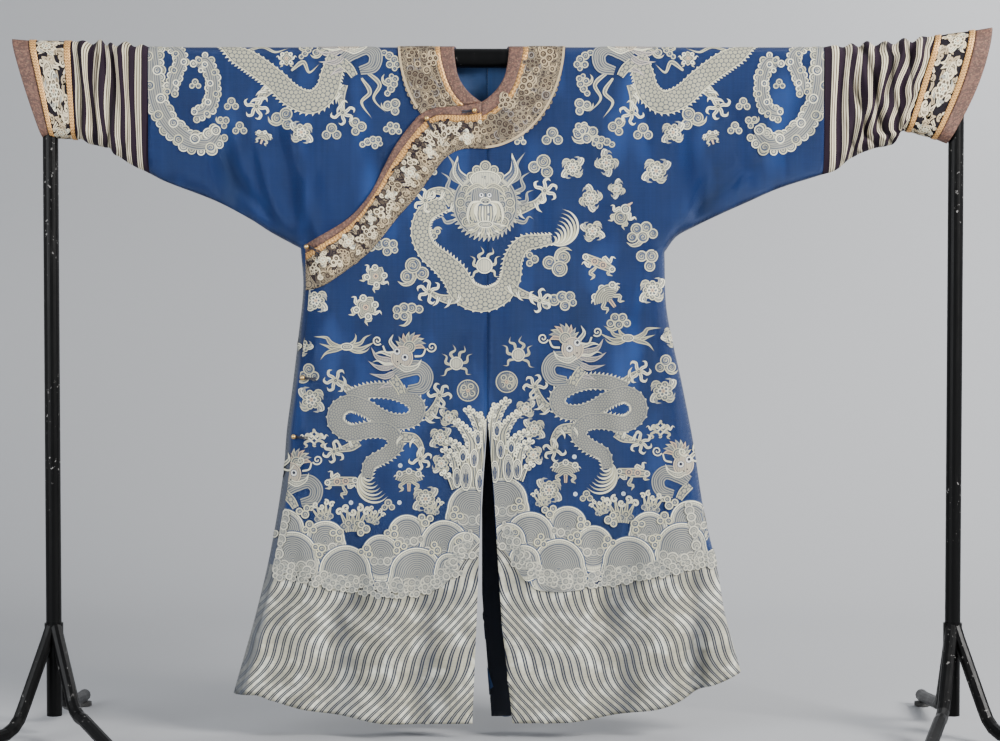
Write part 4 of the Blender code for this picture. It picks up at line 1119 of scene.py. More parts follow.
def facing_head(at):
    """A dragon's head seen from the front: mane and beard first, then the face on top of them."""
    for side in (-1, 1):
        flames(lambda points: at(np.multiply(points, (side, 1))), (
            (5.5, 50, -40, 70, -58, 66, -80, 84, -108), (5, 56, -22, 80, -32, 76, -52, 94, -66),
            (5, 60, 0, 86, -4, 88, -22, 102, -28), (4.5, 60, 34, 82, 40, 92, 28, 102, 34)), GREY)
    for k in range(29):
        a = radians(-18 + 216 * k / 28)
        c, s = cos(a), sin(a)
        layer[0] = 8 + k % 3
        ribbon(at, (44 * c, 44 * s, 66 * c, 68 * s, 76 * c - 4 * s, 80 * s + 4 * c), (6.0, 6.0, 1.0),
               (CREAM, GREY)[k % 2])
    lobe(at, (0, 2), (68, 70), GREY, RINGS, count=60, rings=6)
    for side, tip in ((-1, (-58, -100)), (1, (56, -106))):
        ribbon(at, ((side * 38, -42), (side * 60, -66), tip), (13, 9, 0.3), PALE, cross=4)
        ribbon(at, (side * 42, -48, side * 58, -68, tip[0] * 0.98, tip[1] * 0.93), (6, 3.6, 0.2), SLATE, DARK)
        for k in range(9):
            a = radians(-38 + 16 * k)
            layer[0] = 16 + k % 3
            disc(at, side * 52 * cos(a), 4 + 52 * sin(a), 11.5, (CREAM, GREY, CREAM)[k % 3])
            disc(at, side * 36 * cos(a), 6 + 38 * sin(a), 9.0, (GREY, CREAM)[k % 2])
    layer[0] = 20
    for x, y, r in ((-30, -56, 10), (30, -56, 10), (-18, -70, 10), (18, -70, 10), (0, -78, 12)):
        disc(at, x, y, r)
    lobe(at, (0, -8), (31, 52), GREY, RINGS, rings=4)
    lobe(at, (0, -50), (33, 19), PALE, SATIN, rings=3)
    for side in (-1, 1):
        ribbon(at, (side * 2, -32, side * 16, -38, side * 32, -30, side * 44, -12), (3.0, 5.6, 4.6, 0.3), CREAM)
    lobe(at, (0, 24), (30, 24), SLATE, DARK, rings=2)
    for k in range(-4, 5):
        ribbon(at, (5.6 * k, 6, 6.2 * k, 24, 5.0 * k, 42 - abs(k)), (1.6, 2.2, 1.4), PALE if k % 2 else CREAM)
    for side in (-1, 1):
        for out, low, tone in ((10, 30, PALE), (17, 38, CREAM), (25, 44, PALE)):
            ribbon(at, (side * 5, -4, side * (out + 4), 0, side * (out + 12), low - 16, side * (out + 6), low + 4),
                   (1.6, 2.8, 2.8, 0.4), tone)
        eye(at, side * 8.5, -17, 4.6)
    lobe(at, (0, -5), (12, 8), PALE, RINGS)
    for side in (-1, 1):
        disc(at, side * 4, -3, 1.8, INK, DARK)
    for k in range(15):
        a = radians(12 + 156 * k / 14)
        c, s = cos(a), sin(a)
        layer[0] = 44 + k % 3
        ribbon(at, (14 * c, 40 + 6 * s, 28 * c, 42 + 18 * s, 44 * c, 40 + 33 * s), (2.2, 3.8, 0.8),
               (PALE, GREY, CREAM)[k % 3])
    layer[0] = 48
    lobe(at, (0, 44), (17, 8), PALE, RINGS)


def side_head(at, mane=True):
    """A dragon's head seen from the side, looking up and to the right."""
    if mane:
        flames(at, ((6.5, -18, 2, -38, 0, -50, -6, -60, -24), (6, -16, 12, -38, 16, -52, 12, -66, 2),
                    (6, -12, 22, -32, 32, -48, 30, -64, 26), (5.6, -10, 30, -22, 46, -36, 50, -50, 58)),
               (0.52, 0.45, 0.4))
        flames(at, ((4, -18, -6, -32, -12, -42, -14, -56, -10), (3, -16, 8, -34, 8, -48, 2, -60, 6)),
               PALE)
    ribbon(at, (-16, 28, 6, 18, 32, 16, 44, 32, 36, 52, 10, 56), (12, 15, 14, 13, 12, 8), GREY, RINGS, cross=6)
    ribbon(at, (-20, 34, -8, 50, -2, 64), (9, 9, 7), CREAM, SCALES, cross=4)
    for k in range(9):
        a = radians(-172 + 22 * k)
        line = (14 + 8 * cos(a), -24 + 8 * sin(a), 14 + 19 * cos(a), -26 + 17 * sin(a),
                14 + 30 * cos(a + 0.2), -27 + 26 * sin(a + 0.2))
        ribbon(at, line, (3.6, 4.2, 0.1), (CREAM, GREY, WARM)[k % 3])
    disc(at, 12, -24, 12)
    lobe(at, (-2, -4), (21, 22), (0.8, 0.64, 0.44), SATIN, rings=4)
    ribbon(at, (-8, 10, 6, 18, 26, 12, 34, 0), (5.0, 6.0, 4.0, 0.6), PALE)
    ribbon(at, (-14, -20, -24, -34, -18, -48), (4.4, 3.6, 0.2), PALE)
    eye(at, -11, -15, 6.2)
    eye(at, 4, -4, 6.2)
    for x, y in ((-10, 4), (-4, 8)):
        disc(at, x, y, 1.6, INK, DARK)
    whisker(at, (-16, -14, -32, -14, -38, -26), (-48, -36), 9.0, 1)
    whisker(at, (22, -6, 36, -8, 42, -20), (54, -24), 10.0, -1)


print("dragon strokes ready")

# %% [markdown]
# ### Waves
# At the foot of the pattern the sea breaks: fans of concentric arcs stand behind one another like
# roof tiles, with foam at their feet, and at the slit a rock throws up jets of water.


# %% Waves and rocks
FOAM = (0.6, 0.575, 0.455, 0.65), (0.48, 0.46, 0.37, 0.65), (0.36, 0.36, 0.31, 0.65)


def wave_fan(at, x, top, r):
    """One wave: a dome of concentric arcs that runs down behind the next row, with a pale rim and a shadow."""
    def dome(size):
        return lambda a: np.where(np.sin(a) > 0, size * (1 + 0.45 * np.sin(a)), size)
    count, fine = int(r * 1.15), max(int(r / 5.5), 4)
    for size, tone, kind, rings, hole in ((r + 2.0, SLATE, DARK, 2, 0.86), (r, PALE, SATIN, 2, 1 - 7.5 / r),
                                          (r - 7.0, (0.3, 0.3, 0.265, 0.95), RINGS, fine, 0.0)):
        lobe(at, (x, top + r), dome(size), tone, kind, rings=rings, count=count, hole=hole)
        points = strokes[-1][0]
        points[:, 1] = np.minimum(points[:, 1], curve_at(WATER_TOP, abs(points[:, 0])) + 0.006)
        points[:, 0] = np.maximum(points[:, 0], curve_at(SIDE[RIGHT], points[:, 1]) + 0.016)
    for k, s in enumerate((-0.72, -0.36, 0.0, 0.36, 0.72)):
        here = x + s * r, top + r * (1.42 - 0.25 * s * s)
        disc(at, *here, r * (0.2 + 0.04 * (k % 2)), FOAM[k % 3])
        spiral(at, *here, r * 0.12, 1.1, 2.0 * k, hand(k), 0.7, (0.21, 0.22, 0.2), DARK)


def foam(at, line, r=7.0, step=10.0):
    """A row of foam: lobes of changing size along a line, with curls on them."""
    for k, (x, y) in enumerate(spline(line, step)):
        size, y = r * (0.8 + 0.3 * sin(k * 2.3)), y + 2.5 * sin(k * 1.7)
        layer[0] = 104 + 3 * (k % 4)
        disc(at, x, y, size, FOAM[k % 3])
        spiral(at, x, y, size * 0.6, 1.2, 2.0 + k, hand(k), 0.7, (0.21, 0.22, 0.2), DARK)


def jet(at, line, width):
    """A jet of water: a tapering stem that ends in curls of foam."""
    ribbon(at, line, width * np.array((1, 1, 0.9, 0.7, 0.3)), CREAM, RINGS, cross=6)
    middle = spline(line, 9.0)
    for k in range(max(len(middle) // 2, 2)):
        x, y = middle[-1 - k]
        spiral(at, x + width * (0.35 + 0.16 * k), y - 1, 5.2, 1.0, 2.0, -1, 1.9, PALE)
        spiral(at, x - width * (0.35 + 0.12 * k), y + 3, 4.6, 1.0, 1.0, 1, 1.7, (PALE, GREY)[k % 2])


def spray(at):
    """Spray thrown up between two waves: five stems that end in curls."""
    for k in range(5):
        x, high = 6.5 * (k - 2), 12 + 6 * (k % 2)
        ribbon(at, (x * 0.5, 16, x * 0.9, 2, x * 1.4, -high), (4.2, 3.0, 1.2), CREAM)
        spiral(at, x * 1.5, -high, 5.4, 1.2, 1.5 * k, hand(k), 1.8, PALE)
        disc(at, x, 9 - 5 * (k % 2), 5.6, (GREY, CREAM)[k % 2])


def rock(at):
    """Rocks beside the slit, with jets of water thrown up round them. The slit is at reach 0."""
    for width, *line in ((10, -12, 170, -14, 110, -9, 62, -24, 26, -40, 8),
                        (9, -24, 170, -30, 110, -30, 78, -46, 50, -62, 34),
                        (9, -40, 170, -46, 124, -52, 98, -66, 80, -78, 74),
                        (8, -56, 170, -62, 140, -68, 112, -80, 96, -88, 92),
                        (6, -66, 176, -74, 156, -82, 146, -90, 140), (5, -2, 150, -5, 90, -7, 50, -14, 20)):
        jet(at, line, width)
    for x, y, w, h in ((-42, 150, 12, 30), (-26, 112, 9, 20), (-18, 70, 8, 16), (-60, 152, 10, 22), (-14, 158, 9, 24),
                       (-48, 106, 8, 14)):
        lobe(at, (x, y), (w, h), PALE, RINGS, count=26, rings=4)
        lobe(at, (x, y + 3), (w * 0.42, h * 0.62), (0.012, 0.028, 0.085), DARK, rings=3, count=16)


print("waves ready")

# %% [markdown]
# ### Thread finishes
# Silk thread shines along its length, and each stroke is edged with a darker couched line. Four
# shaders cover the robe: satin stitch with a line near its rim, scales packed like coins, rings that
# follow the rim inwards, and plain dark thread. The thread's own colour comes with each stroke.


# %% Thread materials
SCALE, SCALE_WIDTH, RING_PITCH = 0.0098, 1.732, 0.0042


def thread_finish(kind, name="thread_", ink=(0.03, 0.046, 0.084), inner=(0.208, 0.205, 0.174)):
    """Silk thread: kind says what is drawn inside the couched line at a stroke's rim."""
    thread = Finish(name + kind, 0.48, specular_ior_level=0.15 if kind == "dark" else 0.35)
    rim, flat = thread.number("rim"), thread.flat()
    shade = (thread.place().noise(55, 3) * (0.02 if kind == "dark" else 0.36)).blend(
        thread.number("tone", "Color"), (0.34, 0.33, 0.265))
    deep = (rim * 700.0 - 1.5).held()
    shade = (deep * 0.5).blend(shade, inner)
    dark = (1 - rim * 1600.0).held().larger((1.4 - (rim - 0.0033).size() * 1500.0).held())
    height = (flat.part(0) * 5200.0).wave() * 0.25
    if kind == "satin":
        hatch = ((flat.part(0) * 1300.0).wave() * 2.0 - 1.2).held() * deep
        dark = dark.larger(hatch * 0.7)
    elif kind == "scales":
        cell = flat.stretched((1 / (SCALE_WIDTH * SCALE), 1 / SCALE, 1.0))
        one, two = (scale_distance(cell, shift) for shift in (0.0, 0.5))
        ring = ((one.reckon("MINIMUM", one, two) - 0.36) * 7.0).held() * rim.over(0.0036)
        dark, height = dark.larger(ring), 1 - ring
    elif kind == "rings":
        line = (((rim - 0.0009) * (1 / RING_PITCH)).turn() - 0.56) * 6.0
        line = line.held() * rim.over(0.0016)
        dark, height = dark.larger(line), 1 - line
    if kind != "dark":
        shade = (thread.number("tone", "Alpha") * (dark * 0.92)).blend(shade, ink)
    return thread.done(shade, height, 0.0004, 0.5)


def scale_distance(cell, shift):
    """How far a point is from the middle of its scale, for one of the two sets of rows."""
    for operation, amount in (("ADD", (shift, shift, 0.0)), ("FRACTION", (0, 0, 0)), ("SUBTRACT", (0.5, 0.5, 0.0)),
                              ("MULTIPLY", (SCALE_WIDTH, 1.0, 0.0))):
        cell = cell.made("VectorMath", {0: cell, 1: amount}, operation=operation)
    return cell.made("VectorMath", {0: cell}, "Value", operation="LENGTH")


KINDS = "satin", "scales", "rings", "dark"
THREADS = [thread_finish(kind) for kind in KINDS]
COUCHED = [thread_finish(kind, "couched_", (0.028, 0.014, 0.01), (0.13, 0.095, 0.06)) for kind in KINDS]
print("thread materials:", [made.name for made in THREADS + COUCHED])


# %% Sewing the strokes on
SLIT_TOP, RIM_ROOM, UNDERARM_REACH = 0.768, 0.0012, 0.6


def settle(points, face, closed):
    """Keeps a stroke's flat points inside its panel's free edges, and wraps them round the folds.
    Gives reach, run, face, and whether the outer front is meant."""
    reach, drop = points[:, 0].copy(), points[:, 1].copy()
    side = LEFT if reach.mean() >= (NECK_CENTRE if closed == "collar" else 0) else RIGHT
    if closed is False or closed == "collar":
        return reach, run_of(drop) * -face, np.full(len(reach), face), np.full(len(reach), side == LEFT or not closed)
    low = drop > SLIT_TOP
    edge = line_at(CENTRE_EDGE[face, side], drop) + side * RIM_ROOM
    reach = np.where(low & ((reach - edge) * side < 0), edge, reach)
    drop = np.minimum(drop, curve_at(HEM, reach) - RIM_ROOM)
    reach = np.clip(reach, SLEEVE_END[RIGHT] + 0.001, SLEEVE_END[LEFT] - 0.001)
    edge_drop = curve_at(LAP_EDGE[::-1], reach)
    outer = (reach >= 0) | (drop > edge_drop)
    faces = np.full(len(reach), face)
    arm_reach, arm_drop = ARMPIT[side]
    on_lap = (face == FRONT) & outer & (side == RIGHT)
    fold = curve_at(SIDE[side], drop)
    beside = (drop > arm_drop) & (abs(reach) < UNDERARM_REACH)
    reach = np.where(on_lap & beside, np.maximum(reach, fold + LAP_INSET + 0.001), reach)
    over = beside & (abs(reach) > abs(fold)) & ~on_lap
    reach = np.where(over, 2 * fold - reach, reach)
    low_edge = curve_at(UNDERARM[side], reach)
    under = ~beside & (abs(reach) > abs(arm_reach)) & (drop > low_edge)
    drop = np.where(under, 2 * low_edge - drop, drop)
    faces = np.where(over | under, -face, faces)
    return reach, run_of(drop) * -face * np.where(faces == face, 1, -1), faces, outer


def sew(name, under, face=FRONT, base=0.0, closed=True, surface=None, finishes=THREADS):
    """Makes one object of the strokes laid so far, hung on the cloth's form or on another surface."""
    parts, triangles, rims, uvs, tones, kinds, lifts = zip(*strokes)
    placing = [settle(points, face, closed) for points in parts]
    reach, run, turned, outer = (np.concatenate([row[k] for row in placing]) for k in range(4))
    turned = np.where((run * -face < 0) & (turned == face), -face, turned)
    sizes, counts = list(map(len, parts)), list(map(len, triangles))
    points, lift = np.concatenate(parts), np.concatenate(lifts) + base

    def place(lift):
        return surface(points, lift) if surface else lifted(reach, run, lift, outer, turned)
    here = place(lift)
    outward = place(lift + 0.001) - here
    triangles = np.concatenate(triangles) + np.repeat(np.cumsum([0, *sizes[:-1]]), counts)[:, None]
    a, b, c = (here[triangles[:, k]] for k in range(3))
    normal = np.cross(b - a, c - a)
    flip = (normal * outward[triangles[:, 0]]).sum(-1) < 0
    triangles = np.where(flip[:, None], triangles[:, [0, 2, 1]], triangles)
    keep = np.linalg.norm(normal, axis=-1) > 2e-8
    tones = np.repeat([(*tone, 1.0)[:4] for tone in tones], sizes, axis=0)
    made = mesh_object(name, here, triangles[keep], finishes, np.concatenate(uvs), np.repeat(kinds, counts)[keep],
                       (("rim", np.concatenate(rims)), ("tone", tones)))
    print(name, "has", len(strokes), "strokes and", len(made.data.polygons), "triangles, on", under)
    strokes.clear()
    return made

# %% [markdown]
# ### Laying out the front
# The layout is fixed by tradition: a facing dragon on the chest, one on each shoulder, two in profile
# on the skirt chasing a pearl, clouds and treasures between them, and the sea below. Places are in
# millimetres of reach and drop on the flat cloth.

# %% The chest
def put_down(*how, **named):
    """Starts a new motif on the silk itself."""
    layer[0] = 0
    return placed(*how, **named)


def mirrored(side, rise=0.0):
    """Places for one half: drawn for the wearer's right, and mirrored for the left."""
    return lambda points: at_home(points) * (-side, 1) + (0, rise)


def chest_dragon(x, y):
    line = (-84, 14, -124, 36, -134, 74, -120, 110, -90, 136, -64, 162, -42, 198, -4, 212, 34, 198, 52, 168,
            58, 128, 78, 98, 110, 92, 136, 88)
    halves = (16, 18, 19, 20, 23, 26, 28, 27, 24, 21, 20, 18, 15, 11)
    for place, leg in ((put_down(x + 122, y - 12, 1.15), (-66, 40, -46, 34, -16, 22, 0, 4)),
                       (put_down(x - 124, y + 8, 1.1, flip=-1), (-52, 6, -34, -16, -10, -16, 0, 0)),
                       (put_down(x - 116, y + 196, 1.1, flip=-1), (-58, 6, -40, 14, -18, 10, 0, 0)),
                       (put_down(x + 112, y + 214, 1.1), (-58, -28, -42, -16, -18, -8, 0, 0))):
        claw(place, leg)
    at = put_down(x, y)
    tail(at, 134, 96, -60, 2.0)
    layer[0] = 8
    body(at, line, halves, -1)
    facing_head(put_down(x, y + 14, 0.98))
    layer[0] = 20
    pearl(placed(x - 2, y + 142), 17.0)


chest_dragon(*(-4, 310))
scatter(put_down, ((112, 248, 0.85, 20, 0), (176, 250, 0.95, 0, 3), (134, 188, 0.7, 0, 0), (207, 182, 0.8, 15, 1),
                   (246, 240, 0.95, 40, 3), (213, 313, 0.95, -60, 3), (217, 381, 0.9, -15, 3),
                   (230, 447, 1.0, -10, 5), (246, 513, 1.0, -35, 6), (145, 447, 0.95, 160, 0),
                   (91, 439, 0.5, 90, 0), (-151, 464, 0.95, -10, 0), (-213, 414, 0.8, 30, 2),
                   (-110, 385, 0.45, 180, 0), (151, 526, 0.9, 20, 2), (-166, 546, 0.8, -40, 2),
                   (267, 294, 0.7, 60, 3), (348, 257, 1.1, 10, 3), (279, 346, 0.85, 30, 4), (319, 385, 0.9, -10, 1),
                   (331, 439, 0.8, 50, 0), (341, 503, 1.1, 0, 3), (-251, 538, 1.0, 30, 7), (-230, 474, 0.9, 40, 7),
                   (-354, 524, 1.0, 0, 3), (271, 567, 0.7, 0, 1), (68, 195, 0.4, 0, 0), (-116, 257, 0.4, 0, 0)))
print("chest laid out:", len(strokes), "strokes")

# %% The skirt
SKIRT_DRAGON = (-288, 722, -251, 712, -209, 710, -172, 720, -145, 741, -151, 766, -184, 774, -220, 764, -253, 745,
                -284, 735, -309, 749, -313, 776, -286, 797, -240, 791, -203, 795, -188, 820, -209, 842, -242, 861,
                -249, 890)
SKIRT_HALVES = (12, 15, 16, 16, 16, 16, 16, 16, 17, 17, 17, 17, 17, 17, 17, 16, 15, 14, 11)


def skirt_side(side):
    """The motifs of one half of the skirt."""
    home = mirrored(side, 0 if side < 0 else -0.018)
    put = partial(put_down, home=home)
    whole, first = put(0, 0), len(strokes)
    bat(put(-292, 617, 1.15))
    pearl(put(-64, 654, 1.0), 14.0)
    roundel(put(-40, 710))
    for place, leg in ((put(-313, 689, 1.1, 200), (-58, -22, -44, -16, -20, -4, 0, 0)),
                       (put(-99, 720, 1.1, -30), (-44, 24, -30, 22, -12, 10, 0, 0)),
                       (put(-317, 836, 1.05, 180), (-48, 20, -34, 10, -14, 4, 0, 0)),
                       (put(-139, 851, 1.05, 60), (-56, 10, -40, -10, -16, -12, 0, 0))):
        claw(place, leg)
    tail(put(0, 0), -251, 874, 60, 1.9)
    layer[0] = 8
    body(whole, SKIRT_DRAGON, SKIRT_HALVES, -1, (0.32, 0.315, 0.258, 0.85), 1.7)
    layer[0] = 34
    side_head(placed(-174, 646, 1.1, 0, 1, home))
    endless_knot(put(-358, 807, 1.1))
    scatter(put, ((-364, 729, 1.1, 0, 3), (-369, 675, 0.7, 0, 0), (-79, 766, 0.8, 0, 3), (-97, 807, 0.9, 0, 3),
                  (-95, 861, 0.8, 90, 3), (-162, 892, 0.9, 0, 6), (-302, 898, 0.95, 30, 5), (-128, 934, 1.05, 0, 3),
                  (-205, 948, 0.45, 0, 0), (-383, 619, 0.8, 40, 3)))
    for x, y, size, turn in ((-340, 963, 1.1, -12), (-278, 979, 1.45, 0), (-236, 971, 0.9, 20), (-114, 952, 0.9, 10)):
        spray(put(x, y, size, turn))
    for x, y in ((-282, 942), (-182, 942), (-180, 865), (-66, 894)):
        disc(put(0, 0), x, y, 4.6, (0.66, 0.74, 0.84), DARK)
    side_head(put(-404, 886, 1.05, -8), False)
    for k in range(first, len(strokes)):
        points, faces, rim, uv, tone, *rest = strokes[k]
        strokes[k] = (points, faces, rim, uv, (*(0.74 * part for part in tone[:3]), *tone[3:]), *rest)
    layer[0] = 0
    rock(placed(-2, 738, 1.0, 0, 1, home))
    for k, (x, y, r) in enumerate(((-31, 905, 25), (-420, 956, 20), (-166, 967, 19), (-89, 979, 24),
                                   (-335, 979, 19), (-402, 1002, 25), (-44, 1002, 17), (-220, 1008, 19),
                                   (-294, 1031, 26), (-147, 1035, 26), (-77, 1047, 15))):
        layer[0] = 2 + 9 * k
        wave_fan(whole, x, y, r * 2.07)
    for k, (x, y) in enumerate(((-367, 994), (-311, 1008), (-257, 996), (-197, 1002), (-128, 977), (-64, 965),
                                (-52, 1023), (-182, 1033), (-251, 1043), (-348, 1039), (-110, 1039), (-379, 960))):
        layer[0] = 100
        cloud(placed(x, y, 0.95, 47 * k, 1, home), TREFOIL, 0, (*CREAM, 0.8))
    foam(whole, (-416, 965, -427, 1023, -437, 1076), 10.0, 9.0)
    crest = (-474, 1081) if side > 0 else (-439, 1087)
    crest = np.reshape((*crest, -387, 1093, -304, 1112, -238, 1122, -172, 1124, -118, 1116, -81, 1085, -58,
                        1049, -35, 1018), (-1, 2))
    for rise, r in ((-14, 9.0), (-3, 8.0), (8, 7.5)):
        foam(whole, crest + (0, rise), r, r * 1.25)


print("a skirt dragon bends through", len(SKIRT_DRAGON) // 2, "places")


# %% The shoulders
def cloud_bank(at, line, width):
    """A bank of cloud: scalloped lobes on both sides of a line, a ribbed stroke between them, and curls on top."""
    middle = spline(line, width * 0.6)
    aside = ways_of(middle)[1]
    for k, (point, off) in enumerate(zip(middle, aside)):
        for share in (-1, 1):
            disc(at, *(point + off * share * width * 0.6), width * (0.4 + 0.08 * sin(k * 2.1 + share)),
                 (CREAM, PALE)[k % 2])
    ribbon(at, line, width * np.array((0.4, 0.62, 0.62, 0.62, 0.3)), (*GREY, 0.9), RINGS, cross=6)
    for k, (point, off) in enumerate(zip(middle[::2], aside[::2])):
        x, y = point + off * hand(k) * width * 0.35
        disc(at, x, y, width * 0.42, (PALE, CREAM)[k % 2])
        spiral(at, x, y, width * 0.26, 1.3, k * 1.3, hand(k), 0.8, SLATE, DARK)


def shoulder(side, head=True):
    """The motifs of one shoulder and sleeve."""
    home = mirrored(side)
    put = partial(put_down, home=home)
    whole = put(0, 0)
    cloud_bank(whole, (-692, -10, -689, 33, -687, 79, -677, 124, -652, 166, -615, 195, -580, 201, -555, 178), 25)
    cloud_bank(put(0, 0), (-652, -6, -631, 25, -644, 62, -654, 95), 17)
    cloud_bank(put(0, 0), (-602, 141, -580, 132, -567, 103, -567, 62, -582, 29, -598, 43), 17)
    claw(put(-476, 124, 1.15, 100), (-40, -22, -30, -12, -14, -4, 0, 0))
    claw(put(-298, 137, 1.1, 60), (-46, -26, -32, -14, -14, -6, 0, 0))
    layer[0] = 8
    body(whole, (-545, -12, -520, 12, -478, 39, -437, 70, -404, 101, -364, 116, -333, 95, -321, 58, -309, 21),
         (12, 20, 22, 22, 23, 24, 23, 22, 20), 1)
    if head:
        layer[0] = 34
        side_head(placed(-284, -8, 1.1, -10, 1, home))
    flames(put(0, 0), ((4.5, -253, 50, -222, 79, -234, 108, -209, 137),
                       (4.5, -259, 66, -242, 95, -259, 116, -238, 149), (5, -499, 12, -466, -4, -437, 12, -408, 0),
                       (4.5, -404, 50, -379, 33, -367, 54, -346, 37)))
    scatter(put, ((-528, 120, 0.5, 0, 0), (-545, 155, 0.45, 60, 0), (-511, 170, 0.5, 0, 0), (-462, 186, 0.55, 20, 6),
                  (-383, 178, 0.95, 0, 3), (-420, 149, 0.8, 30, 0), (-321, 178, 0.65, 0, 0), (-267, 166, 0.6, 90, 0),
                  (-238, 199, 0.6, 20, 2), (-195, 124, 0.6, 40, 0), (-195, 170, 0.55, 10, 1), (-199, 79, 0.6, 80, 2),
                  (-199, 29, 0.65, 80, 2), (-342, 8, 0.6, 0, 0), (-414, 25, 0.6, 0, 7), (-375, 8, 0.5, 90, 2),
                  (-602, 79, 0.4, 0, 0)))


for side in (RIGHT, LEFT):
    skirt_side(side)
    shoulder(side)
FRONT_THREADS = sew("embroidery_front", "the front panels")

# %% [markdown]
# ### The back
# The back carries the same programme as the front, without the lap: a facing dragon between the
# shoulders, two in profile below, and the sea at the hem.

# %% The back's embroidery
chest_dragon(0, 330)
for flip in (1, -1):
    scatter(put_down, [(flip * x, y, size, flip * turn, kind) for x, y, size, turn, kind in (
        (112, 250, 0.85, 20, 0), (176, 262, 0.95, 0, 3), (230, 330, 0.9, 15, 1), (190, 400, 1.0, 40, 5),
        (264, 290, 0.95, -60, 6), (250, 440, 0.9, -15, 3), (160, 500, 1.0, -30, 7), (310, 500, 1.1, -35, 7),
        (320, 390, 0.9, 30, 2), (230, 560, 0.9, 0, 0))])
for side in (RIGHT, LEFT):
    skirt_side(side)
    shoulder(side, False)
BACK_THREADS = sew("embroidery_back", "the back panels", BACK)

# %% [markdown]
# ## Collar, band and borders
# Over the silk lie the trimmings: a round collar and a long band in couched brocade, a rose-brown
# border that edges the neck and the lap, and a gold braid between them. Each is cut in the same flat
# plane and lies just above the panel. A strip also carries how far along and how far across it a
# point is, so that a braid's twist follows its curve.

# %% Lines of the trimmings
NECK_BORDER, BRAID, LAP_END = 0.03, 0.0108, -0.3745
COLLAR_ACROSS, COLLAR_DOWN, COLLAR_BEHIND = 0.172, 0.224, 0.15
BRAID_LINE = metres((-12, 148), (-50, 152), (-85, 150), (-110, 152), (-126, 165), (-149, 190), (-191, 248),
                    (-238, 321), (-270, 362), (-302, 391), (-364, 430), (-399, 444))
BAND_LINE = metres((-12, 211), (-54, 213), (-85, 229), (-112, 262), (-131, 289), (-149, 313), (-189, 358),
                   (-223, 402), (-251, 431), (-302, 470), (-345, 496), (-406, 508))


def collar_line(angles):
    turn = np.radians(angles)
    down = np.where(np.cos(turn) > 0, COLLAR_DOWN, COLLAR_BEHIND)
    return pair(NECK_CENTRE + COLLAR_ACROSS * np.sin(turn), down * np.cos(turn))


def lap_line(first, second, share, count=70):
    """A line at a share between two tables of the lap, cut off at the lap's side edge."""
    t = np.linspace(0, 1, count)
    one, two = along(first, share=t), along(second, share=t)
    line = one + (two - one) * share
    line[0, 0] -= SEAM / 2
    past = np.flatnonzero(line[:, 0] <= LAP_END)
    if len(past):
        a, b = line[past[0] - 1:past[0] + 1]
        line = np.concatenate((line[:past[0]], [a + (b - a) * (a[0] - LAP_END) / (a[0] - b[0])]))
    line[:, 1] = run_of(line[:, 1])
    return line


def ring_measure(flat, radius=0.09):
    """Along and across a ring round the neck, as long as it is at a middle radius."""
    off = (flat - (NECK_CENTRE, 0.0)).T
    turn = np.arctan2(*off)
    return ("along", turn * radius), ("across", np.hypot(*off) - curve_at(NECK, abs(np.degrees(turn))))


def lap_measure(rows):
    line = lap_line(rows, rows, 0.0, 160)

    def measure(flat):
        gap = np.linalg.norm(flat[:, None] - line, axis=-1)
        return ("along", lengths_along(line)[gap.argmin(1)]), ("across", gap.min(1))
    return measure


print("the lap's braid is", round(lengths_along(BRAID_LINE)[-1], 3), "m long")


# %% Brocade, rose border and gold braid
def brocade_ground(name, dark, light, gap, sheen=0.1, shine=0.5):
    """The ground of a couched brocade: rings of cord packed side by side round scattered middles."""
    ground = Finish(name, 0.6, sheen_weight=sheen, specular_ior_level=shine)
    flat = ground.flat()
    cells = flat.made("TexVoronoi", {"Vector": flat, "Scale": 62.0, "Randomness": 0.85}, "Distance")
    cord = ((0.72 - (cells * gap).turn()) * 5.0).held()
    shade = flat.noise(30, 3).blend(light, tuple(0.62 * v for v in light))
    return ground.done(cord.blend(dark, shade), ground.weave(0.0007, 0.3)[0] * 0.3 + cord, 0.0004, 0.5)


def rose_border():
    """A small figured weave in rose, brown and a little gold."""
    rose = Finish("rose_border", 0.7)
    flat = rose.flat()
    figure = flat.made("TexVoronoi", {"Vector": flat, "Scale": 210.0, "Randomness": 0.9}, "Distance",
                       feature="SMOOTH_F1")
    mark = ((figure - 0.22) * 3.4).held()
    gold = ((flat.noise(330, 2) - 0.56) * 9.0).held()
    shade = (gold * 0.55).blend(mark.blend((0.165, 0.072, 0.048), (0.066, 0.027, 0.02)), (0.33, 0.215, 0.12))
    return rose.done((flat.noise(24, 4) * 0.35).blend(shade, (0.18, 0.11, 0.085)), mark + gold, 0.0003, 0.5)


def gold_braid():
    """Two cords of gilt thread laid side by side, each with its own twist."""
    braid = Finish("gold_braid", 0.38, 0.35)
    cord_width, twist_pitch = 0.0052, 0.0062
    side = ((braid.number("across") * (1 / cord_width)).turn() - 0.5).size()
    twist = ((braid.number("along") * (1 / twist_pitch) + side * 1.1).turn() - 0.5).size()
    # the twist's colour is partly the dark gaps between the gilt threads and partly painted shade and painted
    # highlight: dark in its grooves, bright on its raised turns
    shade = (twist * 2.0).blend((0.11, 0.034, 0.01), (1.0, 0.56, 0.18))
    return braid.done((braid.flat().noise(70, 3) * 0.5).blend(shade, (0.55, 0.28, 0.09)), twist - side, 0.0008, 0.7)


COLLAR_GROUND = brocade_ground("collar_brocade", (0.014, 0.011, 0.012), (0.33, 0.25, 0.15), 5.5)
DARK_GROUND = brocade_ground("band_ground", (0.003, 0.002, 0.004), (0.012, 0.008, 0.013), 7.0, 0.0, 0.15)
ROSE, GOLD = rose_border(), gold_braid()
print("trimming finishes:", [made.name for made in (COLLAR_GROUND, DARK_GROUND, ROSE, GOLD)])

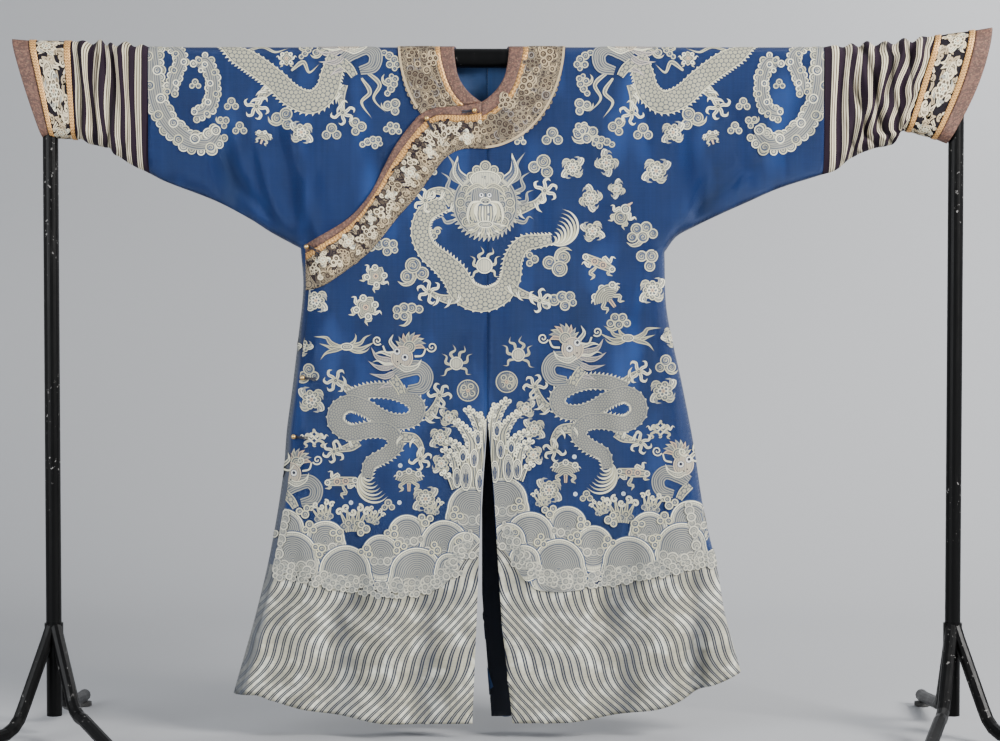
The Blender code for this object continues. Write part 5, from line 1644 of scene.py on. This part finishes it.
# %% The pieces of the collar and the lap
TRIMS, SIDES = [], ((LEFT, "left"), (RIGHT, "right"))


def trim(name, outline, finish, outer, holes=(), measure=ring_measure, spacing=0.0075):
    made = cut_flat("trim_" + name, outline, [finish], holes, spacing, LIFT, outer, attributes=measure, edge_step=0.005)
    walled(stands_for(made, name), TRIM, 1)
    area, around = made_size(made)
    length = (around + sqrt(max(around**2 - 4 * area, 0.0))) / 2
    TRIMS.append((made, area / length, length, area))


def made_size(made):
    """The area of a sheet before it gets its wall, and half the length of its edge."""
    with reshaping(made) as shape:
        return (sum(face.calc_area() for face in shape.faces),
                sum(edge.calc_length() for edge in shape.edges if edge.is_boundary) / 2)


EDGE = lap_line(LAP_EDGE, LAP_EDGE, 0.0)
LAP_AREA = np.concatenate((EDGE - (0, 2 * SEAM), [(-0.5, EDGE[-1, 1]), (-0.5, 0.6), (0.1, 0.6), (0.1, EDGE[0, 1])]))
for side, word in SIDES:
    angles = side * np.linspace(0, 180, 46)
    widths = np.cumsum((0.0, NECK_BORDER, SEAM, BRAID, SEAM))
    rings = [neck_ring(out, angles) for out in widths] + [collar_line(angles)]
    for ring in rings:
        ring[[0, -1], 0] += side * SEAM / 2
    for name, inner, outer_ring, finish, slot in (
            ("neck_border", 0, 1, ROSE, "rose_border"), ("neck_braid", 2, 3, GOLD, "gold_braid"),
            ("collar", 4, 5, COLLAR_GROUND, "brocade")):
        trim(f"{name}_{word}", np.concatenate((rings[inner], rings[outer_ring][::-1])), finish, side == LEFT,
             [LAP_AREA] if side == RIGHT else [], spacing=0.0075 if name == "collar" else 0.006)
for name, finish, slot, first, second in (
        ("lap_border", ROSE, "rose_border", lap_line(LAP_EDGE, BRAID_LINE, 0.0), lap_line(LAP_EDGE, BRAID_LINE, 0.67)),
        ("lap_braid", GOLD, "gold_braid", lap_line(LAP_EDGE, BRAID_LINE, 0.68), lap_line(LAP_EDGE, BRAID_LINE, 1.2)),
        ("front_band", COLLAR_GROUND, "brocade", lap_line(LAP_EDGE, BRAID_LINE, 1.21),
         lap_line(BRAID_LINE, BAND_LINE, 1.0))):
    trim(name, np.concatenate((first, second[::-1])), finish, True,
         measure=lap_measure(BRAID_LINE if name != "lap_border" else LAP_EDGE), spacing=0.006)
print(len(TRIMS), "trimmings")

# %% [markdown]
# The brocade's figures are strokes again, laid in the band's own coordinates: how far along it, and
# how far across it. The collar is packed with small ringed lobes, as couched cord is; the band has
# clouds and blossoms on a dark ground.


# %% Figures on the collar and the band
def band_home(points):
    """Millimetres along the front band, and across it as if it were 52 wide, as metres of reach and drop."""
    points = np.asarray(points, float)
    upper, lower = (lap_line(rows, rows, 0.0, 240) + (0, TOP_RADIUS - QUARTER) for rows in (BRAID_LINE, BAND_LINE))
    length, aside = lengths_along(upper), ways_of(upper)[1]
    room = np.linalg.norm(upper[:, None] - lower, axis=-1).min(1) - 0.0012
    t = np.clip(points[..., 0] * 0.001, 0.0, length[-1])
    s = np.clip(points[..., 1] / 52, 0.02, 0.99) * np.interp(t, length, room)
    reach, drop = (np.interp(t, length, upper[:, k]) - np.interp(t, length, aside[:, k]) * s for k in (0, 1))
    return pair(np.clip(reach, -0.3735, -0.0125), drop)


BEIGE, SAND, IVORY = (0.225, 0.16, 0.084), (0.13, 0.092, 0.052), (0.86, 0.72, 0.48)
HONEY, PLUM, UMBER = (0.52, 0.39, 0.22), (0.01, 0.005, 0.01), (0.035, 0.02, 0.015)
rng = np.random.default_rng(7)


def on_band(x, y, *how):
    return placed(x, y, *how, home=band_home)


for k in range(96):
    layer[0] = k % 2
    disc(on_band(3 + 5.5 * k, 47 - 4 * (k % 3)), 0, 0, 5.0 + 1.6 * (k % 3), (BEIGE, SAND, HONEY)[k % 3])
for k in range(38):
    layer[0] = 2 + k % 3
    at = on_band(14 + 13.7 * k, 18 + 9 * sin(k * 2.4), 1.0, 70 * k)
    lobe(at, (0, 0), lambda a: 9.5 + 4.2 * np.sin(3 * a + k), PLUM, DARK, count=16)
    ribbon(at, (0, 0, 9, 5, 15, -4, 22, 2), (3.5, 3.0, 2.4, 0.3), PLUM, DARK)
for k in range(26):
    layer[0] = 8
    at = on_band(12 + 20.5 * k, 24 + 8 * sin(k * 1.9), 0.64 + 0.12 * sin(k * 2.7), 50 * k, hand(k))
    if k % 3 == 1:
        flower(at, 7, 11, tone=IVORY)
    else:
        cloud(at, (TREFOIL, PUFF, BANK)[k % 3], 1, IVORY if k % 4 else HONEY, UMBER)
    for x, y, tone in ((3, 8, (IVORY, HONEY)), (10, 40, (HONEY, IVORY))):
        spiral(on_band(x + 20.5 * k, y), 0, 0, 4.4, 1.3, k, hand(k), 1.4, tone[k % 2])
BAND_THREADS = sew("embroidery_band", "the front band", FRONT, LIFT + TRIM, False, finishes=COUCHED)


def collar_figures(side):
    """Ringed lobes packed over one half of the collar, in rows round the neck."""
    def at(x, y, *how):
        return placed(1000 * (NECK_CENTRE + x), 1000 * y, *how)

    for row in range(9):
        for k in range(58):
            turn = (k + 0.5 * (row % 2)) * 3.3
            edge = float(curve_at(NECK, turn)) + NECK_BORDER + BRAID + 0.0075
            far = hypot(*(collar_line(turn) - (NECK_CENTRE, 0))) - 0.0065
            count = max(int((far - edge) / 0.014), 1)
            away = edge + (far - edge) * row / count
            if turn > 178 or row > count or (k * 13 + row * 7) % int(max(0.22 / max(away, 0.03), 1)):
                continue
            off, drop = away * sin(radians(turn)), away * cos(radians(turn)) - 0.013
            size = 4.8 + 5.0 * rng.random()
            layer[0] = (k + row) % 4
            if side < 0 and drop > curve_at(LAP_EDGE[::-1], NECK_CENTRE - off) - 0.006:
                continue
            spot = at(side * off, drop, 1.0, turn * side)
            if row == count:
                lobe(spot, (0, 0), (5.4, 5.4), BEIGE if k % 2 else SAND, RINGS, rings=2)
            else:
                disc(spot, 0, 0, size, (BEIGE, SAND, (0.2, 0.17, 0.15), BEIGE, HONEY)[int(rng.integers(5))])
                if rng.random() < 0.7:
                    spiral(spot, 0, 0, size * 0.6, 1.2, turn, side, 0.9, (0.035, 0.025, 0.022), DARK)
    rim = collar_line(side * np.arange(3.0, 178.0, 3.0)) - (0, QUARTER - TOP_RADIUS)
    rim = rim[(rim[:, 1] < curve_at(LAP_EDGE[::-1], rim[:, 0]) - 0.008) | (side > 0)] - (NECK_CENTRE, 0.0)
    layer[0] = 6
    ribbon(at(0, 0), 990 * rim, (2.6, 2.6), HONEY, SATIN, step=5.0)
    for k, (x, y) in enumerate(rim[2:-1:3]):
        layer[0] = 8
        share = 0.74 + 0.13 * sin(k * 2.4)
        cloud(at(x * share, y * share, 0.95 + 0.25 * sin(k * 1.7), 57 * k, hand(k)),
              (TREFOIL, BANK, PUFF)[k % 3], 1, (BEIGE, SAND, HONEY)[k % 3], UMBER)


collar_figures(LEFT)
collar_figures(RIGHT)
COLLAR_THREADS = sew("embroidery_collar", "the collar", FRONT, LIFT + TRIM, "collar", finishes=COUCHED)

# %% [markdown]
# ## Sleeve ends
# Past the seam the sleeve goes on in striped silk, gathered by the hand that once pushed it up, and
# ends in a cuff cut long over the hand. Both are tubes round the bar. The tube's section is a flat
# oval, and its size at each place along the sleeve comes from short tables; the gathers are rows of
# that table, and fine crumples are added on top. Arc length along the cloth drives the stripes, so
# they crowd and turn in the folds as a woven stripe does.

# %% Tables of the sleeve ends
# Percent of the way to the cuff, then millimetres: top, bottom and depth.
GATHER = {
    LEFT: ((0, 0, 263, 23.4), (10, -4, 258, 29), (17, 0, 252, 23.8), (25, -8, 242, 31), (33, -1, 232, 23.8),
           (41, -13, 226, 33), (48, -3, 219, 23.9), (56, -13, 213, 32), (63, -6, 208, 23.9),
           (71, -19, 206, 34), (80, -10, 203, 23.9), (88, -22, 198, 33), (95, -21.5, 176, 25),
           (100, -23, 172, 25)),
    RIGHT: ((0, 0, 261, 23.4), (10, -6, 254, 31), (20, -1, 248, 23.8), (30, -12, 238, 33), (40, -2, 226, 23.9),
            (48, -10, 221, 31), (55, -3, 209, 23.8), (65, -16, 207, 34), (75, -6, 203, 23.9),
            (85, -14, 199, 32), (94, -11.8, 190, 25), (100, -12, 190, 25)),
}
CUFF_SEAMS = {
    LEFT: metres((925, -23, 865, 172, 0), (1010, -35, 930, 190, 10), (1045, -41, 952, 199, 14)),
    RIGHT: metres((-859, -12, -849, 190, 0), (-948, -14, -903, 188, 0), (-983, -17, -919, 190, 3)),
}
LEAN = {LEFT: (16.0, 7.5), RIGHT: (15.0, 2.5)}
CUFF_DEPTH, POST_RADIUS, POST_CLEARANCE, POST_X = 0.025, 0.016, 0.0015, 0.939


def sleeve_point(side, column, around, lift=0.0, crumple=0.0):
    """Points round a sleeve's end. column: reach and drop at the top, reach and drop at the bottom, bow,
    depth, height of its lower round, share of the way to the cuff. around: 0 top, 1 bottom, + in front."""
    top_reach, top, low_reach, low, bow, depth, closing, share = column
    t = abs(around)
    crown = TOP_RADIUS - top
    first, last = t / 0.3 * pi / 2, (1 - t) / 0.3 * pi / 2
    down = np.where(t <= 0.3, crown * (1 - np.cos(first)), np.where(
        t <= 0.7, crown + (low - top - crown - closing) * (t - 0.3) / 0.4, (low - top) - closing * (1 - np.cos(last))))
    out = np.where(t <= 0.3, np.sin(first), np.where(t <= 0.7, 1.0, np.sin(last)))
    q = down / (low - top)
    depth = depth - SLEEVE_FLATTEN * (1 - share) * smooth((q - 0.2) / 0.5) + crumple * out
    wave = 0.004 * np.sin(pi * share) * np.sin(6.5 * q + 11 * share)
    reach = top_reach + (low_reach - top_reach) * q + side * bow * np.sin(pi * q) + wave
    face = np.where(around > 0, -1, 1)
    middle = (top + low) / 2
    drop = middle + (top + down - middle) * (1 + 2 * lift / (low - top))
    return np.stack((ROBE_OFFSET + reach, BAR_Y + face * out * depth * (1 + lift / depth), SHOULDER_HEIGHT - drop), -1)


def cuff_column(side, at):
    """A column of the cuff: at 0 its first seam, at 1 the seam of its border, at 2 its open edge."""
    first = np.minimum(np.floor(at), 1).astype(int)
    seams = np.array(CUFF_SEAMS[side])
    mixed = seams[first] + (seams[first + 1] - seams[first]) * (at - first)[..., None]
    return (*np.moveaxis(mixed, -1, 0), CUFF_DEPTH, CUFF_DEPTH, 1.0)


def sleeve_tube(name, side, columns, ring, finishes, lift=0.0, wall=SHEET_WALL, crumple=0.0, wander=0.0,
                hollow=0.0):
    """A tube through columns (one row each) and a ring of places round it; the seam column doubles for the UVs."""
    n, m = len(columns[0]), len(ring)
    columns = [np.broadcast_to(np.reshape(part, (-1, 1)), (n, m)) for part in columns]
    points = sleeve_point(side, columns, np.broadcast_to(ring, (n, m)), lift, crumple)
    steps = np.linalg.norm(np.diff(points, axis=0), axis=-1)
    length = np.concatenate((np.zeros((1, m)), np.cumsum(steps, 0)))
    length = length * 0.22 + length.mean(1, keepdims=True) * 0.78
    girth = np.concatenate((np.zeros((n, 1)), np.cumsum(np.linalg.norm(np.diff(points, axis=1), axis=-1), 1)), 1)
    uv = pair(length + wander, girth).reshape(-1, 2)
    a = (np.arange(n - 1)[:, None] * m + np.arange(m - 1)).ravel()
    faces = np.stack((a, a + 1, a + m + 1, a + m), -1)
    if side == RIGHT:
        faces = faces[:, ::-1]
    # each point also carries the painted shade of the gathers' valleys
    made = mesh_object("cloth_" + name, points.reshape(-1, 3), faces, finishes, uv, None,
                       (("along", uv[:, 1]), ("across", uv[:, 0]), ("hollow", np.broadcast_to(hollow, (n, m)).ravel())))
    weld(made)
    walled(stands_for(made, name), wall, 1 if lift > 0 else -1, len(finishes) - 1)
    return made, float(length[-1].mean()), float(girth[:, -1].mean())


STRIPES = (
    (0.0, (0.012, 0.006, 0.012)), (0.05, (0.018, 0.007, 0.019)), (0.45, (0.013, 0.005, 0.014)),
    (0.52, (0.01, 0.006, 0.012)), (0.54, (0.96, 0.86, 0.62)), (0.6, (0.86, 0.75, 0.52)),
    (0.62, (0.016, 0.01, 0.016)), (0.66, (0.016, 0.01, 0.016)), (0.68, (0.5, 0.37, 0.2)),
    (0.71, (0.98, 0.9, 0.68)), (0.78, (0.94, 0.84, 0.6)), (0.81, (0.45, 0.33, 0.18)),
    (0.83, (0.016, 0.01, 0.016)), (0.87, (0.016, 0.01, 0.016)), (0.89, (0.9, 0.8, 0.56)),
    (0.97, (0.94, 0.85, 0.62)))


def striped_silk():
    """Plum bands between groups of cream and gold lines, with painted shade in the gathers' valleys."""
    silk = Finish("striped_silk", 0.4, specular_ior_level=0.22)
    height, streak, _ = silk.weave(0.0005, 0.6)
    stripe = (silk.flat().part(0) * (1 / 0.0275)).turn().ramp(STRIPES)
    shade = (streak * 0.16).blend(stripe, (0.024, 0.014, 0.016))
    # painted shade: darker in the valleys of the gathers
    shade = (silk.number("hollow") * 0.88).blend(shade, (0.004, 0.002, 0.004))
    light = stripe.made("SeparateColor", {0: stripe})
    return silk.done(shade, height, roughness=0.75 - light * 0.45)


print("rows of gathers:", {side: len(rows) for side, rows in GATHER.items()})

# %% The gathered stripes
STRIPED = striped_silk()
SLEEVE_PIECES = []
for side, word in SIDES:
    share = np.linspace(0, 1, 121)
    rows = np.array(GATHER[side]) * (0.01, 0.001, 0.001, 0.001)
    top, low, depth = (curve_at(rows, share, k) for k in (1, 2, 3))
    start = SLEEVE_END[side] + side * SEAM
    top_end, low_end = CUFF_SEAMS[side][0][0] - side * SEAM, CUFF_SEAMS[side][0][2] - side * SEAM
    ring = np.concatenate((np.linspace(0, 1, 61), -np.linspace(1, 0, 61)[1:]))
    s, r = share[:, None], ring[None]
    ease = smooth((s - 0.1) / 0.3) * smooth((1.0 - s) / 0.1)
    phase = LEAN[side][0] * s - LEAN[side][1] * abs(r) + 1.3 * np.sin(2.2 * r + side) + 0.6 * np.sin(5 * r)
    crumple = ease * (0.01 * np.abs(np.sin(phase)) ** 0.7 + 0.003 * np.sin(2.6 * phase + 2)
                      + 0.0008 * np.sin(80 * s + 9 * r) - 0.002)
    # painted shade for the valleys of the gathers, carried to the stripes' colour
    hollow = ease * (1 - np.abs(np.sin(phase))) ** 2.2
    wander = 0.003 * ease * np.sin(4.0 * r * pi + 9 * s)
    columns = (start + (top_end - start) * share, top, start + (low_end - start) * share, low, np.zeros(121), depth,
               0.05 + (CUFF_DEPTH - 0.05) * share, share)
    made, length, girth = sleeve_tube("stripes_" + word, side, columns, ring, [STRIPED, LINING],
                                      crumple=np.maximum(crumple, -0.0008), wander=wander, hollow=hollow)
    SLEEVE_PIECES.append((made, (length, girth), "gathered"))
    print(made.name, "is", round(length, 3), "m of gathered cloth")


# %% The cuffs
RING = np.concatenate((np.linspace(0, 1, 49), -np.linspace(1, 0, 49)[1:]))
for side, word in SIDES:
    narrow = SEAM / abs(CUFF_SEAMS[side][2][0] - CUFF_SEAMS[side][1][0])
    first, second = CUFF_SEAMS[side][:2]
    broad = 2 * BRAID / (abs(second[0] - first[0]) + abs(second[2] - first[2]))
    for name, low, high, steps, finishes, slot, lift, wall in (
            ("cuff_", 0.0, 1 - narrow / 2, 14, [DARK_GROUND, LINING], "brocade", 0.0, SHEET_WALL),
            ("cuff_border_", 1 + narrow / 2, 2.0, 8, [ROSE, LINING], "rose_border", 0.0, SHEET_WALL),
            ("cuff_braid_inner_", 0.02, 0.02 + broad, 4, [GOLD], "gold_braid", LIFT, TRIM),
            ("cuff_braid_outer_", 0.99 - broad, 0.99, 4, [GOLD], "gold_braid", LIFT, TRIM)):
        made, length, girth = sleeve_tube(name + word, side, cuff_column(side, np.linspace(low, high, steps)), RING,
                                          finishes, lift, wall)
        SLEEVE_PIECES.append((made, (length, girth), "hung"))
        if side == RIGHT and "inner" not in name:
            bpy.ops.object.select_all(action="DESELECT")
            bpy.ops.mesh.primitive_cylinder_add(vertices=40, radius=POST_RADIUS + POST_CLEARANCE, depth=0.4,
                                                location=(-POST_X, BAR_Y, 1.21))
            cutter = bpy.context.object
            made.modifiers.new("post_room", "BOOLEAN").object = cutter
            bpy.context.view_layer.objects.active = made
            for modifier in ("wall", "post_room"):
                bpy.ops.object.modifier_apply(modifier=modifier)
            bpy.data.objects.remove(cutter)
print(len(SLEEVE_PIECES), "pieces of sleeve and cuff")


# %% Figures on the cuffs
def cuff_surface(side):
    """Millimetres along the cuff from its first seam, and down from its top in front (negative behind)."""
    def surface(points, lift):
        at = np.clip(points[:, 0] / 0.085, 0.1, 0.9)
        around = np.clip(points[:, 1] / 0.23, -0.97, 0.97)
        return sleeve_point(side, cuff_column(side, at), around, lift)
    return surface


def scroll(at, tone, shade):
    """Scrolling foliage: two curls, a stem between them, and leaves."""
    ribbon(at, (-14, 8, -4, 12, 8, 4, 12, -8), (1.2, 4.6, 5.0, 0.8), tone)
    ribbon(at, (-12, -8, -2, -12, 6, -4), (0.8, 3.8, 3.0), shade)
    ribbon(at, (0, 0, 5, 9, 0, 18), (3.4, 3.0, 0.3), tone)
    spiral(at, -9, 2, 7.0, 1.3, 0.5, 1, 2.4, tone)
    spiral(at, 10, 8, 6.0, 1.2, 2.5, -1, 2.2, shade)


for side, word in SIDES:
    size, curl = (1.2, 6.6) if side == RIGHT else (1.05, 5.4)
    for face in (1, -1):
        for k in range(9):
            y = face * (14 + 25 * k)
            tones = (IVORY, HONEY) if k % 2 else (HONEY, IVORY)
            layer[0] = 4
            at = placed(42 + 10 * sin(k * 2.2), y, size, 75 * k, hand(k))
            if k % 3 == 1:
                flower(at, 8, 12, tone=IVORY)
            else:
                scroll(at, *tones)
            for x in (20, 65):
                layer[0] = k % 2
                spiral(placed(x, y + 12 * face), 0, 0, curl, 1.3, k + x, hand(k), 1.9, tones[1])
                ribbon(placed(x, y + 6 * face, 1, 60 * k), (0, 3, 8, 9, 17, 5), (2.0, 3.6, 0.3), tones[0])
    made = sew("embroidery_cuff_" + word, "the cuff", surface=cuff_surface(side), finishes=COUCHED)
    SLEEVE_PIECES[(0 if side == LEFT else 4) + 2] += (made,)

# %% [markdown]
# ## Buttons and loops
# The lap closes with small gilt balls, each pushed through a loop of dark cord. A ball is a sphere with
# shallow flutes. The loop is two cords laid side by side that open round the ball.

# %% Buttons
BUTTONS = {
    "neck": (-0.026, 0.133, (-1.0, 0.1), LIFT + TRIM), "chest": (-0.126, 0.15, (0.5, 0.87), LIFT + TRIM),
    "underarm": (-0.366, 0.412, (0.87, 0.5), LIFT + TRIM), "side_upper": (-0.38, 0.684, (1.0, 0.1), 0.0),
    "side_lower": (-0.397, 0.806, (1.0, 0.1), 0.0),
}
BUTTON_RADIUS, LOOP_LENGTH, LOOP_CORD = 0.0055, 0.03, 0.0012


def gilt():
    metal = Finish("gilt_metal", 0.28, 0.9)
    worn = metal.place().noise(420, 4)
    shade = worn.between(0.35, 0.65).blend((0.42, 0.24, 0.09), (0.86, 0.62, 0.28))
    return metal.done(shade, worn, 0.0003, 0.4, roughness=worn * 0.3 + 0.15)


def cord_finish():
    cord = Finish("loop_cord", 0.7)
    twist = ((cord.flat().part(0) + cord.flat().part(1)) * 3800.0).wave()
    return cord.done((twist * 0.4 + 0.5).blend((0.008, 0.01, 0.02), (0.05, 0.05, 0.075)), twist, 0.0004)


GILT, CORD_FINISH = gilt(), cord_finish()


def button(name, reach, drop, base):
    """A fluted ball: a sphere whose sides are pushed in by turns."""
    out = base + TRIM + 2.5 * SEAM + BUTTON_RADIUS
    place = lifted(np.array([reach]), np.array([run_of(drop)]), np.array([out]), True)[0]
    bpy.ops.object.select_all(action="DESELECT")
    bpy.ops.mesh.primitive_uv_sphere_add(segments=24, ring_count=14, radius=BUTTON_RADIUS, location=place,
                                         rotation=(radians(90), 0, 0))
    made = bpy.context.object
    bpy.ops.object.transform_apply()
    made.name = "ball_" + name
    centre = Vector(place)
    with reshaping(made) as shape:
        for vert in shape.verts:
            off = vert.co - centre
            flat = hypot(off.x, off.z) / BUTTON_RADIUS
            vert.co = centre + off * (1 - 0.025 * flat * (1 + cos(8 * atan2(off.z, off.x))))
    made.data.materials.append(GILT)
    bpy.ops.object.shade_smooth()
    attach(made, "root")
    return stands_for(made, "button_" + name)


def swept(name, lines, radius, finish):
    """Round cords along lines in space, as one mesh with its own flat UVs."""
    sides, points, faces, uv, start = 8, [], [], [], 0
    for line in lines:
        line = np.asarray(line, float)
        ahead = np.gradient(line, axis=0)
        ahead /= np.linalg.norm(ahead, axis=1, keepdims=True)
        across = np.cross(ahead, (0.0, -1.0, 0.0))
        across /= np.linalg.norm(across, axis=1, keepdims=True)
        other = np.cross(across, ahead)
        a = np.arange(sides) * 2 * pi / sides
        ring = line[:, None] + radius * (np.cos(a)[:, None] * across[:, None] + np.sin(a)[:, None] * other[:, None])
        n = len(line)
        points.append(ring.reshape(-1, 3))
        uv.append(pair(np.repeat(lengths_along(line), sides), np.tile(radius * a, n)))
        k = np.arange(n - 1)[:, None] * sides
        i, j = np.arange(sides), (np.arange(sides) + 1) % sides
        quads = np.stack((k + i, k + j, k + sides + j, k + sides + i), -1).reshape(-1, 4)
        faces.append(np.concatenate((quads[:, [0, 1, 2]], quads[:, [0, 2, 3]])) + start)
        for base, flip in ((0, True), ((n - 1) * sides, False)):
            fan = np.stack((np.full(sides - 2, base), base + np.arange(1, sides - 1), base + np.arange(2, sides)), -1)
            faces.append((fan[:, ::-1] if flip else fan) + start)
        start += n * sides
    made = mesh_object(name, np.concatenate(points), np.concatenate(faces), [finish], np.concatenate(uv))
    with reshaping(made) as shape:
        bmesh.ops.recalc_face_normals(shape, faces=shape.faces)
    return made


def loop(name, reach, drop, direction, base):
    """Two cords side by side that part round the ball and close behind it."""
    way = np.array(direction) / hypot(*direction)
    across = np.array((-way[1], way[0]))
    start = np.array((reach, run_of(drop))) - way * BUTTON_RADIUS * 0.6
    t = np.linspace(0, 1, 26)
    lines = []
    for hand in (1, -1):
        apart = 0.0013 + 0.0012 * np.exp(-((t - 0.1) / 0.12) ** 2) + 0.0008 * np.sin(t * 9) * (t > 0.7)
        flat = start + way * (t * LOOP_LENGTH)[:, None] + across * hand * apart[:, None]
        lines.append(lifted(flat[:, 0], flat[:, 1], np.full(len(t), base + SEAM + LOOP_CORD), True))
    return stands_for(swept("cord_" + name, lines, LOOP_CORD, CORD_FINISH), "loop_" + name)


CLOSURES = []
for name, (reach, drop, direction, base) in BUTTONS.items():
    CLOSURES += [button(name, reach, drop, base), loop(name, reach, drop, direction, base)]
print(len(CLOSURES), "buttons and loops")

# %% [markdown]
# ## The stand
# The stand is steel tube under black enamel. It has been moved many times: the enamel is scuffed to
# grey where posts are gripped, and chipped near the joints. The solids already have the right shape,
# so they stay, and only take a better finish.


# %% Enamel, rubber and the facing
def enamel():
    paint = Finish("black_enamel", 0.34, specular_ior_level=0.14)
    rubbed = paint.place().stretched((60.0, 60.0, 9.0)).noise(1, 6, 0.7)
    where = paint.place().noise(7, 2)
    scuff = rubbed.between(0.56, 0.72) * where.between(0.45, 0.65)
    chipped = paint.place().noise(140, 3).between(0.66, 0.69) * where.between(0.5, 0.6)
    shade = (scuff * 0.5).blend((0.001, 0.001, 0.0011), (0.026, 0.025, 0.024))
    shade = (chipped * 0.7).blend(shade, (0.3, 0.29, 0.28))
    return paint.done(shade, rubbed - chipped, 0.0002, 0.3, roughness=rubbed * 0.35 + 0.18)


def rubber():
    sole = Finish("foot_rubber", 0.85)
    dust = sole.place().noise(90, 5)
    return sole.done(dust.blend((0.012, 0.012, 0.013), (0.07, 0.068, 0.065)), dust, 0.0003, 0.4)


ENAMEL, RUBBER = enamel(), rubber()
for name, solid in NODES.items():
    if name.startswith(("bar", "post", "hub", "leg")):
        solid.data.materials[0] = ENAMEL
    elif name.startswith("foot"):
        solid.data.materials[0] = RUBBER


def slit_facing():
    """The dark strip inside the back, beside the slit."""
    drops = np.linspace(0.776, 1.4005, 60)
    near = pair(centre_line(BACK, LEFT, drops)[:, 0], -run_of(drops))
    outline = np.concatenate((near + (SEAM, 0), near[::-1] + (0.062, 0)))
    outline[:, 1] = np.maximum(outline[:, 1], -run_of(curve_at(HEM, outline[:, 0]) - 0.0006))
    made = cut_flat("cloth_slit_facing", outline, [FACING], lift=-CLOTH - LIFT - 0.0012)
    return walled(stands_for(made, "slit_facing"), TRIM, 1), area_of(outline)


FACING_STRIP, AREA_FACING = slit_facing()
print("stand finished")

# %% [markdown]
# ## The cut of each piece
# Some sizes that the sheets were cut to are reckoned here, from their lengths and areas.

# %% Sizes of the sheets
LENGTH = 2 * run_of(HEM_DROP)
[BAND_THREADS] + CLOSURES
for made, (length, girth), held, *threads in SLEEVE_PIECES:
    length * girth
AREA_FACING / 0.06
print("sheets declared:", 4 + len(TRIMS) + len(SLEEVE_PIECES))
